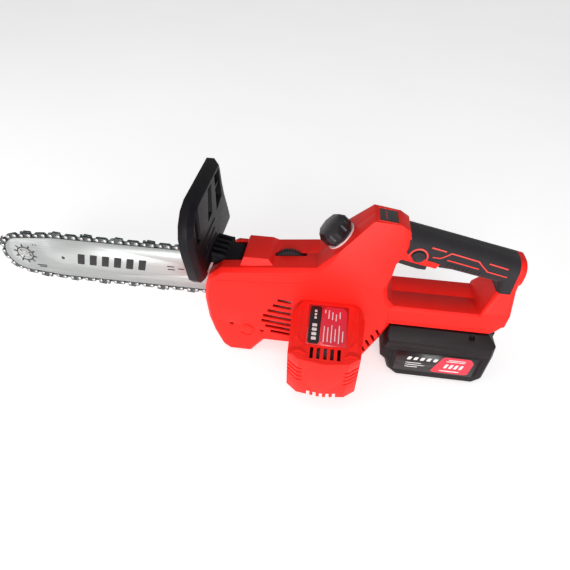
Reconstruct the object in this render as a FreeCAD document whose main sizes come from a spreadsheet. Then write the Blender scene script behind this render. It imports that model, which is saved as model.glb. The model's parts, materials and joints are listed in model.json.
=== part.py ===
"""Battery chainsaw, built as separate pieces in one frame.

Frame: millimetres, +Z up, the bar points along -X, the operator's left is -Y.
The origin is the centre of the front foot, on the plane that the saw stands on.
"""
import FreeCAD, Part
import math
import os
import sys

import Sketcher

sys.path.append(os.path.join(FreeCAD.getHomePath(), "Mod", "PartDesign"))
from fcgear import fcgear, involute

VEC = FreeCAD.Vector
DOC = FreeCAD.newDocument("chainsaw")

# ---------------------------------------------------------------- driving sizes
SIZES = {
    # guide bar and chain
    "bar_level": 74.0, "bar_face": 24.0, "bar_thick": 4.0, "bar_half": 28.5,
    "bar_tip": 302.0, "nose_radius": 24.0, "bar_tail": 44.0, "bar_taper": 236.0,
    "bar_travel": 4.0, "groove_wide": 1.5, "groove_deep": 6.6,
    "rivet_rise": 3.5, "link_thick": 1.2, "strap_thick": 1.0, "strap_gap": 0.1,
    "tang_deep": 9.0, "sprocket_ring": 18.4, "rivet_pitch": 9.525,
    "stud_place": 16.0, "guide_pin_place": -6.0, "stud_radius": 4.0,
    # housing
    "body_half": 28.0, "body_wall": 2.6, "edge_bevel": 4.0,
    "deck_front": -14.0, "deck_front_level": 125.5, "deck_rear": 83.0, "deck_rear_level": 136.5,
    "hump_front": 132.0, "hump_level": 189.5, "hump_rear": 157.0, "hump_half": 15.0,
    "body_nose": -35.0, "foot_half": 13.0, "belly_level": 22.0, "keel_level": 8.0,
    "bar_bay_floor": 20.0, "bar_bay_low": 34.0, "bar_bay_high": 114.0, "bar_bay_rear": 100.0,
    "pin_clear": 0.1, "slide_clear": 0.3,
    # rear handle
    "rail_low": 70.0, "rail_high": 96.0, "rail_half": 27.0, "handle_rear": 279.0,
    "grip_front": 165.0, "grip_front_top": 180.5, "grip_rear_top": 155.0,
    "grip_half": 16.5, "grip_skin": 2.2,
    # drive
    "spindle_place": 70.0, "spindle_radius": 5.0, "gear_module": 1.25, "gear_teeth": 46.0,
    "pinion_teeth": 10.0, "gear_backlash": 0.15, "gear_wide": 9.0, "motor_drop": 20.0,
    "motor_radius": 20.0, "motor_long": 62.0, "shaft_radius": 2.5,
    # motor housing
    "box_left": 62.0, "box_right": 137.0, "box_front": -97.0, "box_low": 27.0,
    "box_high": 96.0, "box_high_front": 80.0, "box_wall": 3.0, "cap_deep": 16.0,
    # hand guard
    "guard_front": -40.0, "guard_deep": 13.0, "guard_low": 117.0, "guard_high": 207.0,
    "guard_pivot": 0.0, "guard_pivot_level": 121.0,
    # battery
    "pack_front": 161.0, "pack_rear": 277.0, "pack_half": 37.5, "pack_high": 69.5,
    "pack_split": 46.0, "pack_wall": 2.2, "cell_radius": 9.0, "cell_long": 65.0,
    # oil
    "cap_along": 31.8, "cap_radius": 16.5, "cap_tall": 19.0, "neck_radius": 10.0,
    # tensioner
    "wheel_place": 54.5, "wheel_level": 121.7, "wheel_radius": 17.0, "wheel_wide": 5.5,
    "rack_pinion_teeth": 10.0, "rack_module": 1.0,
    # controls
    "trigger_pivot": 162.0, "trigger_level": 150.0, "trigger_half": 8.5,
    "button_radius": 6.0, "knob_radius": 23.0,
}


class Dim:
    """A size that carries both its number and its spreadsheet expression."""

    def __init__(self, text, value):
        self.text = text
        self.value = float(value)

    @staticmethod
    def of(other):
        return other if isinstance(other, Dim) else Dim(repr(float(other)), other)

    def __add__(self, other):
        other = Dim.of(other)
        return Dim("(%s + %s)" % (self.text, other.text), self.value + other.value)

    def __radd__(self, other):
        return Dim.of(other) + self

    def __sub__(self, other):
        other = Dim.of(other)
        return Dim("(%s - %s)" % (self.text, other.text), self.value - other.value)

    def __rsub__(self, other):
        return Dim.of(other) - self

    def __mul__(self, other):
        other = Dim.of(other)
        return Dim("(%s * %s)" % (self.text, other.text), self.value * other.value)

    __rmul__ = __mul__

    def __truediv__(self, other):
        other = Dim.of(other)
        return Dim("(%s / %s)" % (self.text, other.text), self.value / other.value)

    def __neg__(self):
        return Dim("(0 - %s)" % self.text, -self.value)

    def __float__(self):
        return self.value


class Sizes:
    """Reads driving sizes from the spreadsheet by alias."""

    def __init__(self, sheet, table):
        self.sheet = sheet
        for row, (alias, value) in enumerate(table.items(), start=1):
            sheet.set("A%d" % row, alias)
            sheet.set("B%d" % row, str(value))
            sheet.setAlias("B%d" % row, alias)
        DOC.recompute()

    def __getattr__(self, alias):
        return Dim("Sizes." + alias, self.sheet.get(alias))


S = Sizes(DOC.addObject("Spreadsheet::Sheet", "Sizes"), SIZES)
NODES = {}


def num(value):
    """The plain number behind a size."""
    return float(value)


# ---------------------------------------------------------------- document helpers
def bind(obj, name, value):
    """Ties one property of an object to its spreadsheet expression."""
    value = Dim.of(value)
    obj.setExpression(name, value.text)


def place(obj, spot, turn=None):
    """Puts an object at a bound place, with an optional rotation."""
    obj.Placement = FreeCAD.Placement(VEC(*[num(v) for v in spot]), turn or FreeCAD.Rotation())
    for axis, value in zip("xyz", spot):
        bind(obj, "Placement.Base." + axis, value)
    return obj


AXIS_TURNS = {
    "X": FreeCAD.Rotation(VEC(0, 1, 0), 90),
    "Y": FreeCAD.Rotation(VEC(1, 0, 0), -90),
    "Z": FreeCAD.Rotation(),
}


def keep(label, obj):
    """Registers an object as the sub-part that a node file is written from."""
    obj.Label = label
    NODES[label] = obj
    return obj


def rod(name, radius, length, spot, axis="Y"):
    """A solid cylinder from spot along an axis."""
    obj = DOC.addObject("Part::Cylinder", name)
    bind(obj, "Radius", radius)
    bind(obj, "Height", length)
    return place(obj, spot, AXIS_TURNS[axis])


def block(name, size, spot):
    """A box from its lowest corner."""
    obj = DOC.addObject("Part::Box", name)
    for prop, value in zip(("Length", "Width", "Height"), size):
        bind(obj, prop, value)
    return place(obj, spot)


def cut(name, base, tool):
    """The base less the tool."""
    obj = DOC.addObject("Part::Cut", name)
    obj.Base = base
    obj.Tool = tool
    return obj


def fuse(name, pieces):
    """Several objects made one."""
    obj = DOC.addObject("Part::MultiFuse", name)
    obj.Shapes = pieces
    obj.Refine = True
    return obj


def group(name, pieces):
    """Several separate solids kept together in one node."""
    obj = DOC.addObject("Part::Compound", name)
    obj.Links = pieces
    return obj


def tube(name, outer, inner, length, spot, axis="Y"):
    """A cylinder with a bore right through it."""
    shell = rod(name + "_outer", outer, length, spot, axis)
    bore = rod(name + "_bore", inner, length, spot, axis)
    return cut(name, shell, bore)


def feature(label, shape):
    """A sub-part whose shape is worked out here from the sheet's sizes."""
    obj = DOC.addObject("Part::Feature", label)
    spot = shape.Placement
    obj.Shape = shape
    obj.Placement = spot
    return keep(label, obj)


# ---------------------------------------------------------------- sketch helpers
def origin_plane(body, role):
    """A body's own origin plane."""
    for item in body.Origin.OriginFeatures:
        if item.Role == role:
            return item
    raise ValueError(role)


def outline_sketch(body, name, role, points, offset=0.0):
    """A closed outline whose every corner is bound to the sheet."""
    sketch = body.newObject("Sketcher::SketchObject", name)
    sketch.AttachmentSupport = [(origin_plane(body, role), "")]
    sketch.MapMode = "FlatFace"
    bind(sketch, "AttachmentOffset.Base.z", offset)
    spots = [VEC(num(u), num(v), 0) for u, v in points]
    count = len(spots)
    for i in range(count):
        sketch.addGeometry(Part.LineSegment(spots[i], spots[(i + 1) % count]), False)
    for i in range(count):
        sketch.addConstraint(Sketcher.Constraint("Coincident", i, 2, (i + 1) % count, 1))
    for i, pair in enumerate(points):
        for kind, value in zip(("DistanceX", "DistanceY"), pair):
            made = sketch.addConstraint(Sketcher.Constraint(kind, -1, 1, i, 1, num(value)))
            bind(sketch, "Constraints[%d]" % made, value)
    return sketch


def ring_sketch(body, name, role, centre, radius, offset=0.0):
    """A circle bound to the sheet."""
    sketch = body.newObject("Sketcher::SketchObject", name)
    sketch.AttachmentSupport = [(origin_plane(body, role), "")]
    sketch.MapMode = "FlatFace"
    bind(sketch, "AttachmentOffset.Base.z", offset)
    circle = Part.Circle(VEC(num(centre[0]), num(centre[1]), 0), VEC(0, 0, 1), num(radius))
    sketch.addGeometry(circle, False)
    for kind, value in (("DistanceX", centre[0]), ("DistanceY", centre[1])):
        made = sketch.addConstraint(Sketcher.Constraint(kind, -1, 1, 0, 3, num(value)))
        bind(sketch, "Constraints[%d]" % made, value)
    made = sketch.addConstraint(Sketcher.Constraint("Radius", 0, num(radius)))
    bind(sketch, "Constraints[%d]" % made, radius)
    return sketch


def new_body(label):
    """An empty body registered as a sub-part."""
    body = DOC.addObject("PartDesign::Body", label)
    body.Placement = FreeCAD.Placement()
    return keep(label, body)


def pad(body, sketch, length, back=False):
    """Adds material along the sketch's normal."""
    item = body.newObject("PartDesign::Pad", sketch.Name + "_pad")
    item.Profile = sketch
    bind(item, "Length", length)
    item.Reversed = back
    sketch.Visibility = False
    return item


def pocket(body, sketch, length, back=False):
    """Removes material and proves that some was there."""
    DOC.recompute()
    before = body.Shape.Volume
    item = body.newObject("PartDesign::Pocket", sketch.Name + "_pocket")
    item.Profile = sketch
    bind(item, "Length", length)
    item.Reversed = back
    DOC.recompute()
    if not body.Shape.Volume < before - 0.01:
        raise ValueError("pocket %s cut nothing" % sketch.Name)
    return item


def round_edges(body, wanted, radius, kind="PartDesign::Fillet"):
    """Rounds (or bevels) the edges of the body's tip that the test picks."""
    DOC.recompute()
    tip = body.Tip
    names = ["Edge%d" % (i + 1) for i, edge in enumerate(tip.Shape.Edges) if wanted(edge)]
    item = body.newObject(kind, body.Name + ("_round" if kind.endswith("Fillet") else "_bevel"))
    item.Base = (tip, names)
    bind(item, "Radius" if kind.endswith("Fillet") else "Size", radius)
    DOC.recompute()
    return item


def along(edge, axis):
    """Whether a straight edge runs along an axis."""
    if len(edge.Vertexes) != 2 or edge.Curve.TypeId != "Part::GeomLine":
        return False
    way = edge.Vertexes[1].Point - edge.Vertexes[0].Point
    return abs(way.normalize().dot(axis)) > 0.999


# The XZ plane's sketches draw (x, z); their normal points along -Y.
SIDE = "XZ_Plane"
FLOOR = "XY_Plane"
CROSS = "YZ_Plane"


# ---------------------------------------------------------------- plain shape helpers
def side_face(points, level):
    """A face in the XZ plane at y = level, from (x, z) corners."""
    spots = [VEC(num(x), num(level), num(z)) for x, z in points]
    return Part.Face(Part.makePolygon(spots + spots[:1]))


def slab(points, low, high):
    """A prism of an (x, z) outline between two y levels."""
    return side_face(points, low).extrude(VEC(0, num(high) - num(low), 0))


def inset_points(points, gap):
    """The corners of a convex or concave outline moved inwards by a gap."""
    spots = [VEC(num(x), num(z), 0) for x, z in points]
    area = sum(a.x * b.y - b.x * a.y for a, b in zip(spots, spots[1:] + spots[:1]))
    sign = 1.0 if area > 0 else -1.0
    moved = []
    for i, spot in enumerate(spots):
        way_in = (spot - spots[i - 1]).normalize()
        way_out = (spots[(i + 1) % len(spots)] - spot).normalize()
        side_in = VEC(-way_in.y, way_in.x, 0) * sign
        side_out = VEC(-way_out.y, way_out.x, 0) * sign
        half = side_in + side_out
        moved.append(spot + half * (2.0 * gap / half.dot(half)))
    return [(p.x, p.y) for p in moved]


def bevelled_slab(points, half, bevel, gap=0.0):
    """A prism across the mid-plane whose two outer rims are bevelled all round."""
    outline = inset_points(points, gap) if gap else [(num(x), num(z)) for x, z in points]
    half = num(half) - gap
    bevel = max(num(bevel) - 0.586 * gap, 0.4)
    rim = inset_points(outline, bevel)
    core = slab(outline, bevel - half, half - bevel)
    wires = []
    for sign in (-1.0, 1.0):
        near = Part.makePolygon([VEC(x, sign * (half - bevel), z) for x, z in outline + outline[:1]])
        far = Part.makePolygon([VEC(x, sign * half, z) for x, z in rim + rim[:1]])
        wires.append(Part.makeLoft([near, far], True, True))
    return core.fuse(wires).removeSplitter()


def round_section(x, centre, half_wide, half_tall, corner):
    """A rounded rectangle in the YZ plane at one x."""
    box = Part.makePlane(2 * half_wide, 2 * half_tall)
    box.rotate(VEC(0, 0, 0), VEC(1, 1, 1), 120)
    box.translate(VEC(x, -half_wide, centre - half_tall))
    wire = box.OuterWire
    return fillet_wire(wire, corner)


def fillet_wire(wire, radius):
    """Rounds each corner of a flat closed polygon with an arc."""
    spots = [v.Point for v in wire.OrderedVertexes]
    edges = []
    marks = []
    for i, spot in enumerate(spots):
        to_last = (spots[i - 1] - spot).normalize()
        to_next = (spots[(i + 1) % len(spots)] - spot).normalize()
        half = math.acos(max(-1.0, min(1.0, to_last.dot(to_next)))) / 2
        reach = radius / math.tan(half)
        middle = spot + (to_last + to_next).normalize() * (radius / math.sin(half) - radius)
        marks.append((spot + to_last * reach, middle, spot + to_next * reach))
    for i, (start, middle, end) in enumerate(marks):
        edges.append(Part.Arc(start, middle, end).toShape())
        following = marks[(i + 1) % len(marks)][0]
        if (following - end).Length > 1e-6:
            edges.append(Part.LineSegment(end, following).toShape())
    return Part.Wire(edges)


def cylinder(radius, start, way, length):
    """A plain cylinder shape."""
    return Part.makeCylinder(num(radius), num(length), start, way)


def solids_of(shape):
    """A compound of the solids in a shape."""
    found = shape.Solids
    return found[0] if len(found) == 1 else Part.makeCompound(found)


def gear_face(module, teeth, turn_degrees):
    """The outline of an involute gear, drawn in the XZ plane at the origin."""
    builder = fcgear.FCWireBuilder()
    involute.CreateExternalGear(builder, num(module), int(num(teeth)), 20, True)
    wire = Part.Wire([part.toShape() for part in builder.wire])
    wire.rotate(VEC(0, 0, 0), VEC(0, 0, 1), turn_degrees)
    wire.rotate(VEC(0, 0, 0), VEC(1, 0, 0), 90)
    return Part.Face(wire)


# ================================================================ housing
DECK = VEC(num(S.deck_rear - S.deck_front), 0, num(S.deck_rear_level - S.deck_front_level)).normalize()
SLOPE = VEC(num(S.hump_front - S.deck_rear), 0, num(S.hump_level - S.deck_rear_level)).normalize()
SLOPE_OUT = VEC(-SLOPE.z, 0, SLOPE.x)
BODY_HALF = num(S.body_half)
WALL = num(S.body_wall)


BRIDGE_HALF = num(S.grip_half) - 1.5


def deck_level(x):
    """Height of the front deck's surface at a place along the body."""
    rise = (num(S.deck_rear_level) - num(S.deck_front_level)) / (num(S.deck_rear) - num(S.deck_front))
    return num(S.deck_front_level) + rise * (x - num(S.deck_front))


def front_outline():
    """Side view of the front body: deck, hump, loop wall, keel, belly, foot and nose."""
    nose = S.body_nose
    level = S.bar_level
    return [
        (S.deck_front, S.deck_front_level), (S.deck_rear, S.deck_rear_level),
        (S.hump_front, S.hump_level), (S.hump_rear, S.hump_level - 3),
        (S.grip_front + 1, S.grip_front_top), (S.grip_front + 3, S.grip_front_top - 9),
        (S.grip_front - 1, S.grip_front_top - 22), (S.grip_front - 7, S.grip_front_top - 33),
        (S.grip_front - 11, S.rail_high + 24), (S.grip_front - 8, S.rail_high + 9),
        (S.grip_front, S.rail_high), (S.grip_front, S.rail_low - 3),
        (S.pack_front - 2.5, S.rail_low - 22), (S.box_right + 6, S.keel_level + 3),
        (S.box_right, S.keel_level), (S.box_left + 6, S.keel_level + 3),
        (S.box_left - 5, S.belly_level), (S.foot_half * 2 + 3, S.belly_level),
        (S.foot_half + 4, 6.0), (S.foot_half, 0.0), (-S.foot_half, 0.0), (S.foot_half * -1 - 8, 7.0),
        (nose + 6, level - 44), (nose + 1.5, level - 22), (nose, level + 6), (nose + 2, level + 24),
        (nose + 7, level + 40),
    ]


def hump_wedges(gap):
    """Two wedges that lean the hump's flanks in towards its top and towards the grip."""
    low = VEC(num(S.deck_rear) + 10, num(S.body_half), num(S.deck_rear_level) + 10)
    top = VEC(num(S.hump_front) + 1, num(S.hump_half), num(S.hump_level))
    rear = VEC(num(S.grip_front) - 2, num(S.grip_half) + 2, num(S.grip_front_top) - 22)
    out = (top - low).cross(rear - low).normalize()
    if out.y < 0:
        out = out * -1
    wedges = []
    for sign in (1, -1):
        normal = VEC(out.x, out.y * sign, out.z)
        start = VEC(low.x, low.y * sign, low.z) - normal * gap
        side = normal.cross(VEC(0, 0, 1)).normalize() * 400
        rise = side.cross(normal).normalize() * 400
        corner = start - side * 0.5 - rise * 0.5
        face = Part.Face(Part.makePolygon([corner, corner + side, corner + side + rise,
                                           corner + rise, corner]))
        wedges.append(face.extrude(normal * 60))
    return wedges


def handle_solid(gap, rear_trim=0.0):
    """The rear grip as a loft of rounded sections, smaller by a gap."""
    front = num(S.grip_front)
    rear = num(S.handle_rear) - gap - rear_trim
    stations = ((front - 15, 6.0, 7.0), (front + 20, 5.0, 5.0), (front + 48, 0.5, 0.5),
                (rear - 26, 0.0, 0.0), (rear, -1.0, -1.5))
    sections = []
    for x, wider, deeper in stations:
        share = (x - front) / (num(S.handle_rear) - front)
        top = num(S.grip_front_top) + share * (num(S.grip_rear_top) - num(S.grip_front_top)) - gap
        half_wide = num(S.grip_half) + 0.3 * wider - gap
        half_tall = num(S.grip_half) - 0.7 + 0.5 * deeper - gap
        corner = half_tall - 2.5
        sections.append(round_section(x, top - half_tall, half_wide, half_tall, corner))
    return Part.makeLoft(sections, True, True)


def rail_solid(gap):
    """The lower rail of the rear loop."""
    high = S.rail_high
    outline = [
        (S.grip_front - 16, S.rail_low), (S.handle_rear - 12, S.rail_low),
        (S.handle_rear - 5, S.rail_low + 6), (S.handle_rear, S.rail_low + 14),
        (S.handle_rear, high), (S.grip_front - 16, high),
    ]
    return bevelled_slab(outline, S.rail_half, 3.0, gap)


def post_solid(gap):
    """The rear post that joins the rail to the grip, narrower towards the top."""
    rear = num(S.handle_rear) - gap
    stations = ((num(S.rail_high) - 12, 31.0, num(S.rail_half), 3.0),
                (num(S.rail_high) + 3, 29.0, num(S.rail_half), 3.0),
                (num(S.rail_high) + 26, 18.5, num(S.grip_half) + 1.0, 5.0),
                (num(S.grip_rear_top) - 9, 22.0, num(S.grip_half) - 1.0, 7.0))
    wires = []
    for level, long, half, corner in stations:
        half = half - gap
        front = rear + gap - long + gap
        corners = [VEC(front, -half, level), VEC(rear, -half, level),
                   VEC(rear, half, level), VEC(front, half, level)]
        wires.append(fillet_wire(Part.makePolygon(corners + corners[:1]), corner - 0.6 * gap))
    return Part.makeLoft(wires, True, True)


def bridge_solid(gap):
    """The red strip under the grip that the trigger hangs in."""
    outline = [
        (S.grip_front - 16, S.grip_front_top - 29), (S.grip_front + 32, S.grip_front_top - 39.5),
        (S.grip_front + 36, S.grip_front_top - 32), (S.grip_front + 4, S.grip_front_top - 22),
        (S.grip_front - 16, S.grip_front_top - 18),
    ]
    return bevelled_slab(outline, BRIDGE_HALF, 1.5, gap)


def housing_solid(gap):
    """The whole outer form of the two shells, smaller by a gap all round."""
    front = bevelled_slab(front_outline(), S.body_half, S.edge_bevel, gap)
    for wedge in hump_wedges(gap):
        front = front.cut(wedge)
    core_gap = gap + num(S.grip_skin)
    form = front.fuse([rail_solid(gap), post_solid(core_gap),
                       handle_solid(core_gap), bridge_solid(gap)])
    return form


def lower_post(gap):
    """The uncovered foot of the rear post, full size under the rubber's lower edge."""
    keep_low = Part.makeBox(80, 80, 60, VEC(num(S.handle_rear) - 60, -40, num(S.rail_high) - 35))
    return post_solid(gap).common(keep_low)


def rear_strip(gap):
    """The red strip down the back of the handle, behind the rubber."""
    back = Part.makeBox(40, 80, 120, VEC(num(S.handle_rear) - 6, -40, num(S.rail_high) - 20))
    return post_solid(gap).fuse(handle_solid(gap)).common(back)


BAY_LOW = num(S.bar_bay_low)
BAY_HIGH = num(S.bar_bay_high)
BAY_REAR = num(S.bar_bay_rear)
BAY_FLOOR = num(S.bar_bay_floor)
SPINDLE = VEC(num(S.spindle_place), 0, num(S.bar_level))
CENTRES = num(S.gear_module * (S.gear_teeth + S.pinion_teeth) / 2 + S.gear_backlash)
MOTOR_STEP = math.sqrt(CENTRES ** 2 - num(S.motor_drop) ** 2)
MOTOR = VEC(num(S.spindle_place) + MOTOR_STEP, 0, num(S.bar_level - S.motor_drop))
WHEEL = VEC(num(S.wheel_place), 0, num(S.wheel_level))
GUARD_PIVOT = VEC(num(S.guard_pivot), 0, num(S.guard_pivot_level))
CAP_BASE = VEC(num(S.deck_rear), 0, num(S.deck_rear_level)) + SLOPE * num(S.cap_along)
# Each shell screw: x, z, the half-width at its head and the side it goes in from.
SCREW_SPOTS = [
    (-7.5, 47.0, BODY_HALF, -1), (27.0, 39.5, BODY_HALF, -1), (86.0, 122.0, BODY_HALF, 1),
    (112.0, 24.0, BODY_HALF, 1), (146.0, 92.0, BODY_HALF, 1), (200.0, 87.5, num(S.rail_half), 1),
    (262.0, 87.5, num(S.rail_half), 1),
]
BUTTON = VEC(num(S.grip_front) + 12, -num(S.grip_half) + 0.5, num(S.grip_front_top) - 23.5)
SHOE_HALF = 24.0
POST_RADIUS = 4.5
SCREW_RADIUS = 1.5
SCREW_HEAD = 2.4
SCREW_SINK = 2.6


def screw_posts(low, high):
    """Screw posts between two y levels at every shell screw."""
    return [cylinder(POST_RADIUS, VEC(x, low, z), VEC(0, 1, 0), high - low) for x, z, _, _ in SCREW_SPOTS]


def openings():
    """Everything that is cut right through the shells' walls."""
    tools = []
    neck_hole = num(S.neck_radius) + 1.0
    tools.append(cylinder(neck_hole, CAP_BASE - SLOPE_OUT * 12, SLOPE_OUT, 20))
    wheel_half = num(S.wheel_wide) / 2 + 0.8
    wheel_long = 2 * num(S.wheel_radius)
    tools.append(Part.makeBox(wheel_long, 2 * wheel_half, 30,
                              VEC(WHEEL.x - wheel_long / 2, -1.5 - wheel_half, WHEEL.z - 4)))
    half = num(S.trigger_half) + 0.6
    tools.append(Part.makeBox(36, 2 * half, 23.5, VEC(num(S.trigger_pivot) - 6.5, -half, num(S.trigger_level) - 19)))
    tools.append(window_slab(0.15, -0.2, 9.0))
    shoe_half = SHOE_HALF + 0.3
    shoe = Part.makeBox(130, 2 * shoe_half, 14.5, VEC(num(S.grip_front) + 1.5, -shoe_half, num(S.rail_low) - 6))
    tools.append(shoe)
    tools.append(cylinder(num(S.button_radius) + 0.3, BUTTON - VEC(0, 14, 0), VEC(0, 1, 0), 18))
    tools.append(cylinder(num(S.button_radius) + 1.8, BUTTON + VEC(0, 3.1, 0), VEC(0, 1, 0), 8))
    guard_half = BODY_HALF - WALL - 0.1
    tools.append(cylinder(3.02, GUARD_PIVOT - VEC(0, guard_half, 0), VEC(0, 1, 0), 2 * guard_half))
    pin_half = BRIDGE_HALF - 0.5
    trigger_pivot = VEC(num(S.trigger_pivot), -pin_half, num(S.trigger_level))
    tools.append(cylinder(2.02, trigger_pivot, VEC(0, 1, 0), 2 * pin_half))
    arm_low = num(S.guard_pivot_level) - 8.3
    hub_room = Part.makeBox(28, 34, 26, VEC(num(S.guard_pivot) - 10, -12, arm_low))
    arm_room = Part.makeBox(30, 44, 26, VEC(num(S.guard_pivot) - 38, -12, arm_low))
    tools += [hub_room, arm_room]
    return tools


def window_slab(gap, sink, tall=3.2):
    """The display window let into the hump's top."""
    start = VEC(num(S.hump_front) + 5, -10, num(S.hump_level) - 0.7)
    fall = math.degrees(math.atan2(3.0, num(S.hump_rear - S.hump_front)))
    made = Part.makeBox(17 + 2 * gap, 20 + 2 * gap, tall, VEC(start.x - gap, start.y - gap, start.z - 2.4 + sink))
    made.rotate(VEC(num(S.hump_front), 0, num(S.hump_level)), VEC(0, 1, 0), fall)
    return made


def louvres():
    """Slanted cooling slots ahead of the motor and on the slanted rear edge."""
    tools = []
    for i, long in enumerate((15, 20, 26, 31, 33, 29, 23)):
        made = Part.makeBox(long, 12, 4.6, VEC(0, -BODY_HALF - 4, 0))
        made.rotate(VEC(0, 0, 0), VEC(0, 1, 0), 7)
        made.translate(VEC(60 - made.BoundBox.XLength, 0, 88 - 8.2 * i))
        tools.append(made)
    for i in range(4):
        made = Part.makeBox(3.2, 12, 12, VEC(-1.6, -BODY_HALF - 4, -6))
        made.rotate(VEC(0, 0, 0), VEC(0, 1, 0), -28)
        made.translate(VEC(142.2 + 4.4 * i, 0, 29 + 9.0 * i))
        tools.append(made)
    return tools


def make_housing():
    """The two clamshells, with screw posts, the bar bay and bearing seats."""
    outer = housing_solid(0.0).fuse([lower_post(0.0), rear_strip(0.0)]).removeSplitter()
    inner = housing_solid(WALL)
    bay_wall = Part.makeBox(BAY_REAR + 43, 20, BAY_HIGH - BAY_LOW + 2 * WALL,
                            VEC(-40, BAY_FLOOR - WALL, BAY_LOW - WALL))
    cavity = inner.cut(bay_wall)
    hollow = outer.cut(cavity)
    posts = Part.makeCompound(screw_posts(-BODY_HALF + 1, BODY_HALF - 1))
    hollow = hollow.fuse(posts.common(outer).Solids)
    seat = cylinder(13, VEC(SPINDLE.x, 8, SPINDLE.z), VEC(0, 1, 0), BAY_FLOOR - 8)
    stud_boss = cylinder(8, VEC(num(S.stud_place), 4, SPINDLE.z), VEC(0, 1, 0), BAY_FLOOR - 4)
    pad_block = slab([(-16, 62), (40, 62), (40, 86), (-16, 86)], BAY_FLOOR - 1, num(S.bar_face) - 0.3)
    hollow = hollow.fuse([seat, stud_boss])
    bay = Part.makeBox(BAY_REAR + 60, 30, BAY_HIGH - BAY_LOW, VEC(-60, BAY_FLOOR, BAY_LOW))
    hollow = hollow.cut(bay).fuse(pad_block)
    hollow = hollow.cut(openings() + louvres())
    motor_hole = cylinder(num(S.motor_radius) + 1.5, VEC(MOTOR.x, -40, MOTOR.z), VEC(0, 1, 0), 20)
    bearing_seat = cylinder(11.05, VEC(SPINDLE.x, 7, SPINDLE.z), VEC(0, 1, 0), 8.05)
    spindle_hole = cylinder(6.0, VEC(SPINDLE.x, 7, SPINDLE.z), VEC(0, 1, 0), 30)
    stud_hole = cylinder(num(S.stud_radius) + 0.02, VEC(num(S.stud_place), 0, SPINDLE.z), VEC(0, 1, 0), 40)
    pin_hole = cylinder(num(S.stud_radius) + 0.02, VEC(num(S.guide_pin_place), 12, SPINDLE.z), VEC(0, 1, 0), 20)
    tension_slot = Part.makeBox(num(S.bar_travel) + 7.4, 20, 7.4, VEC(30 - 3.7, 10, 58 - 3.7))
    hollow = hollow.cut([motor_hole, bearing_seat, spindle_hole, stud_hole, pin_hole, tension_slot])
    for x, z, half, side in SCREW_SPOTS:
        way = VEC(0, -side, 0)
        shank_hole = cylinder(SCREW_RADIUS + 0.05, VEC(x, side * half, z), way, half + 10)
        head_hole = cylinder(SCREW_HEAD + 0.2, VEC(x, side * (half + 1), z), way, SCREW_SINK + 3.2)
        hollow = hollow.cut([shank_hole, head_hole])
    big = 400.0
    left_half = Part.makeBox(2 * big, big, 2 * big, VEC(-big, -big, -big))
    right_half = Part.makeBox(2 * big, big, 2 * big, VEC(-big, 0, -big))
    feature("housing_left", biggest(hollow.common(left_half)))
    feature("housing_right", biggest(hollow.common(right_half)))


def biggest(shape):
    """The largest solid of a cut result, so that no loose crumb is kept."""
    return max(shape.Solids, key=lambda solid: solid.Volume)


def make_screws():
    """Shell screws: one group of separate screws with heads."""
    solids = []
    for x, z, half, side in SCREW_SPOTS:
        way = VEC(0, -side, 0)
        shank = cylinder(SCREW_RADIUS, VEC(x, side * (half - SCREW_SINK - 1), z), way, half + 4)
        head = cylinder(SCREW_HEAD, VEC(x, side * (half - SCREW_SINK), z), way, 2.2)
        drive = Part.makeBox(2.8, 2.0, 0.9, VEC(x - 1.4, side * (half - SCREW_SINK) - 1, z - 0.45))
        solids.append(head.fuse(shank).cut(drive))
    feature("housing_screws", Part.makeCompound(solids))


def make_grip():
    """Rubber over the handle core, split like the shells."""
    front = num(S.grip_front)
    skin = handle_solid(0.0, 6.2).fuse(post_solid(0.0).common(
        Part.makeBox(50, 80, 80, VEC(num(S.handle_rear) - 56.2, -40, num(S.rail_high) + 25.2))))
    core = housing_solid(0.0).fuse([lower_post(0.0), rear_strip(0.0)])
    cap_cut = Part.makeCylinder(28, 120, VEC(front - 26, -60, num(S.grip_front_top) - 14), VEC(0, 1, 0))
    ahead = Part.makeBox(60, 120, 120, VEC(front - 70, -60, 100))
    under = slab([(front - 16, num(S.grip_front_top) - 60), (front + 36, num(S.grip_front_top) - 60),
                  (front + 36, num(S.grip_front_top) - 32), (front + 4, num(S.grip_front_top) - 22),
                  (front - 16, num(S.grip_front_top) - 18)], -60, 60)
    skin = skin.cut(core).cut([cap_cut, ahead, under])
    skin = skin.cut(cylinder(num(S.button_radius) + 0.4, BUTTON - VEC(0, 20, 0), VEC(0, 1, 0), 28))
    left = Part.makeBox(400, 100, 400, VEC(0, -100, 0))
    right = Part.makeBox(400, 100, 400, VEC(0, 0, 0))
    feature("grip_left", biggest(skin.common(left)))
    feature("grip_right", biggest(skin.common(right)))


# ================================================================ motor housing
def box_outline(level):
    """Plan of the motor housing at one height: a box with clipped front corners."""
    left, right, front = num(S.box_left), num(S.box_right), num(S.box_front)
    back = -BODY_HALF - 0.2
    return [VEC(left + 11, back, level), VEC(left, back - 14, level), VEC(left + 1, front + 12, level),
            VEC(left + 12, front + 3, level), VEC(left + 36, front, level), VEC(right - 36, front, level),
            VEC(right - 14, front + 3, level), VEC(right - 3, front + 12, level),
            VEC(right, back - 13, level), VEC(right - 11, back, level)]


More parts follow.
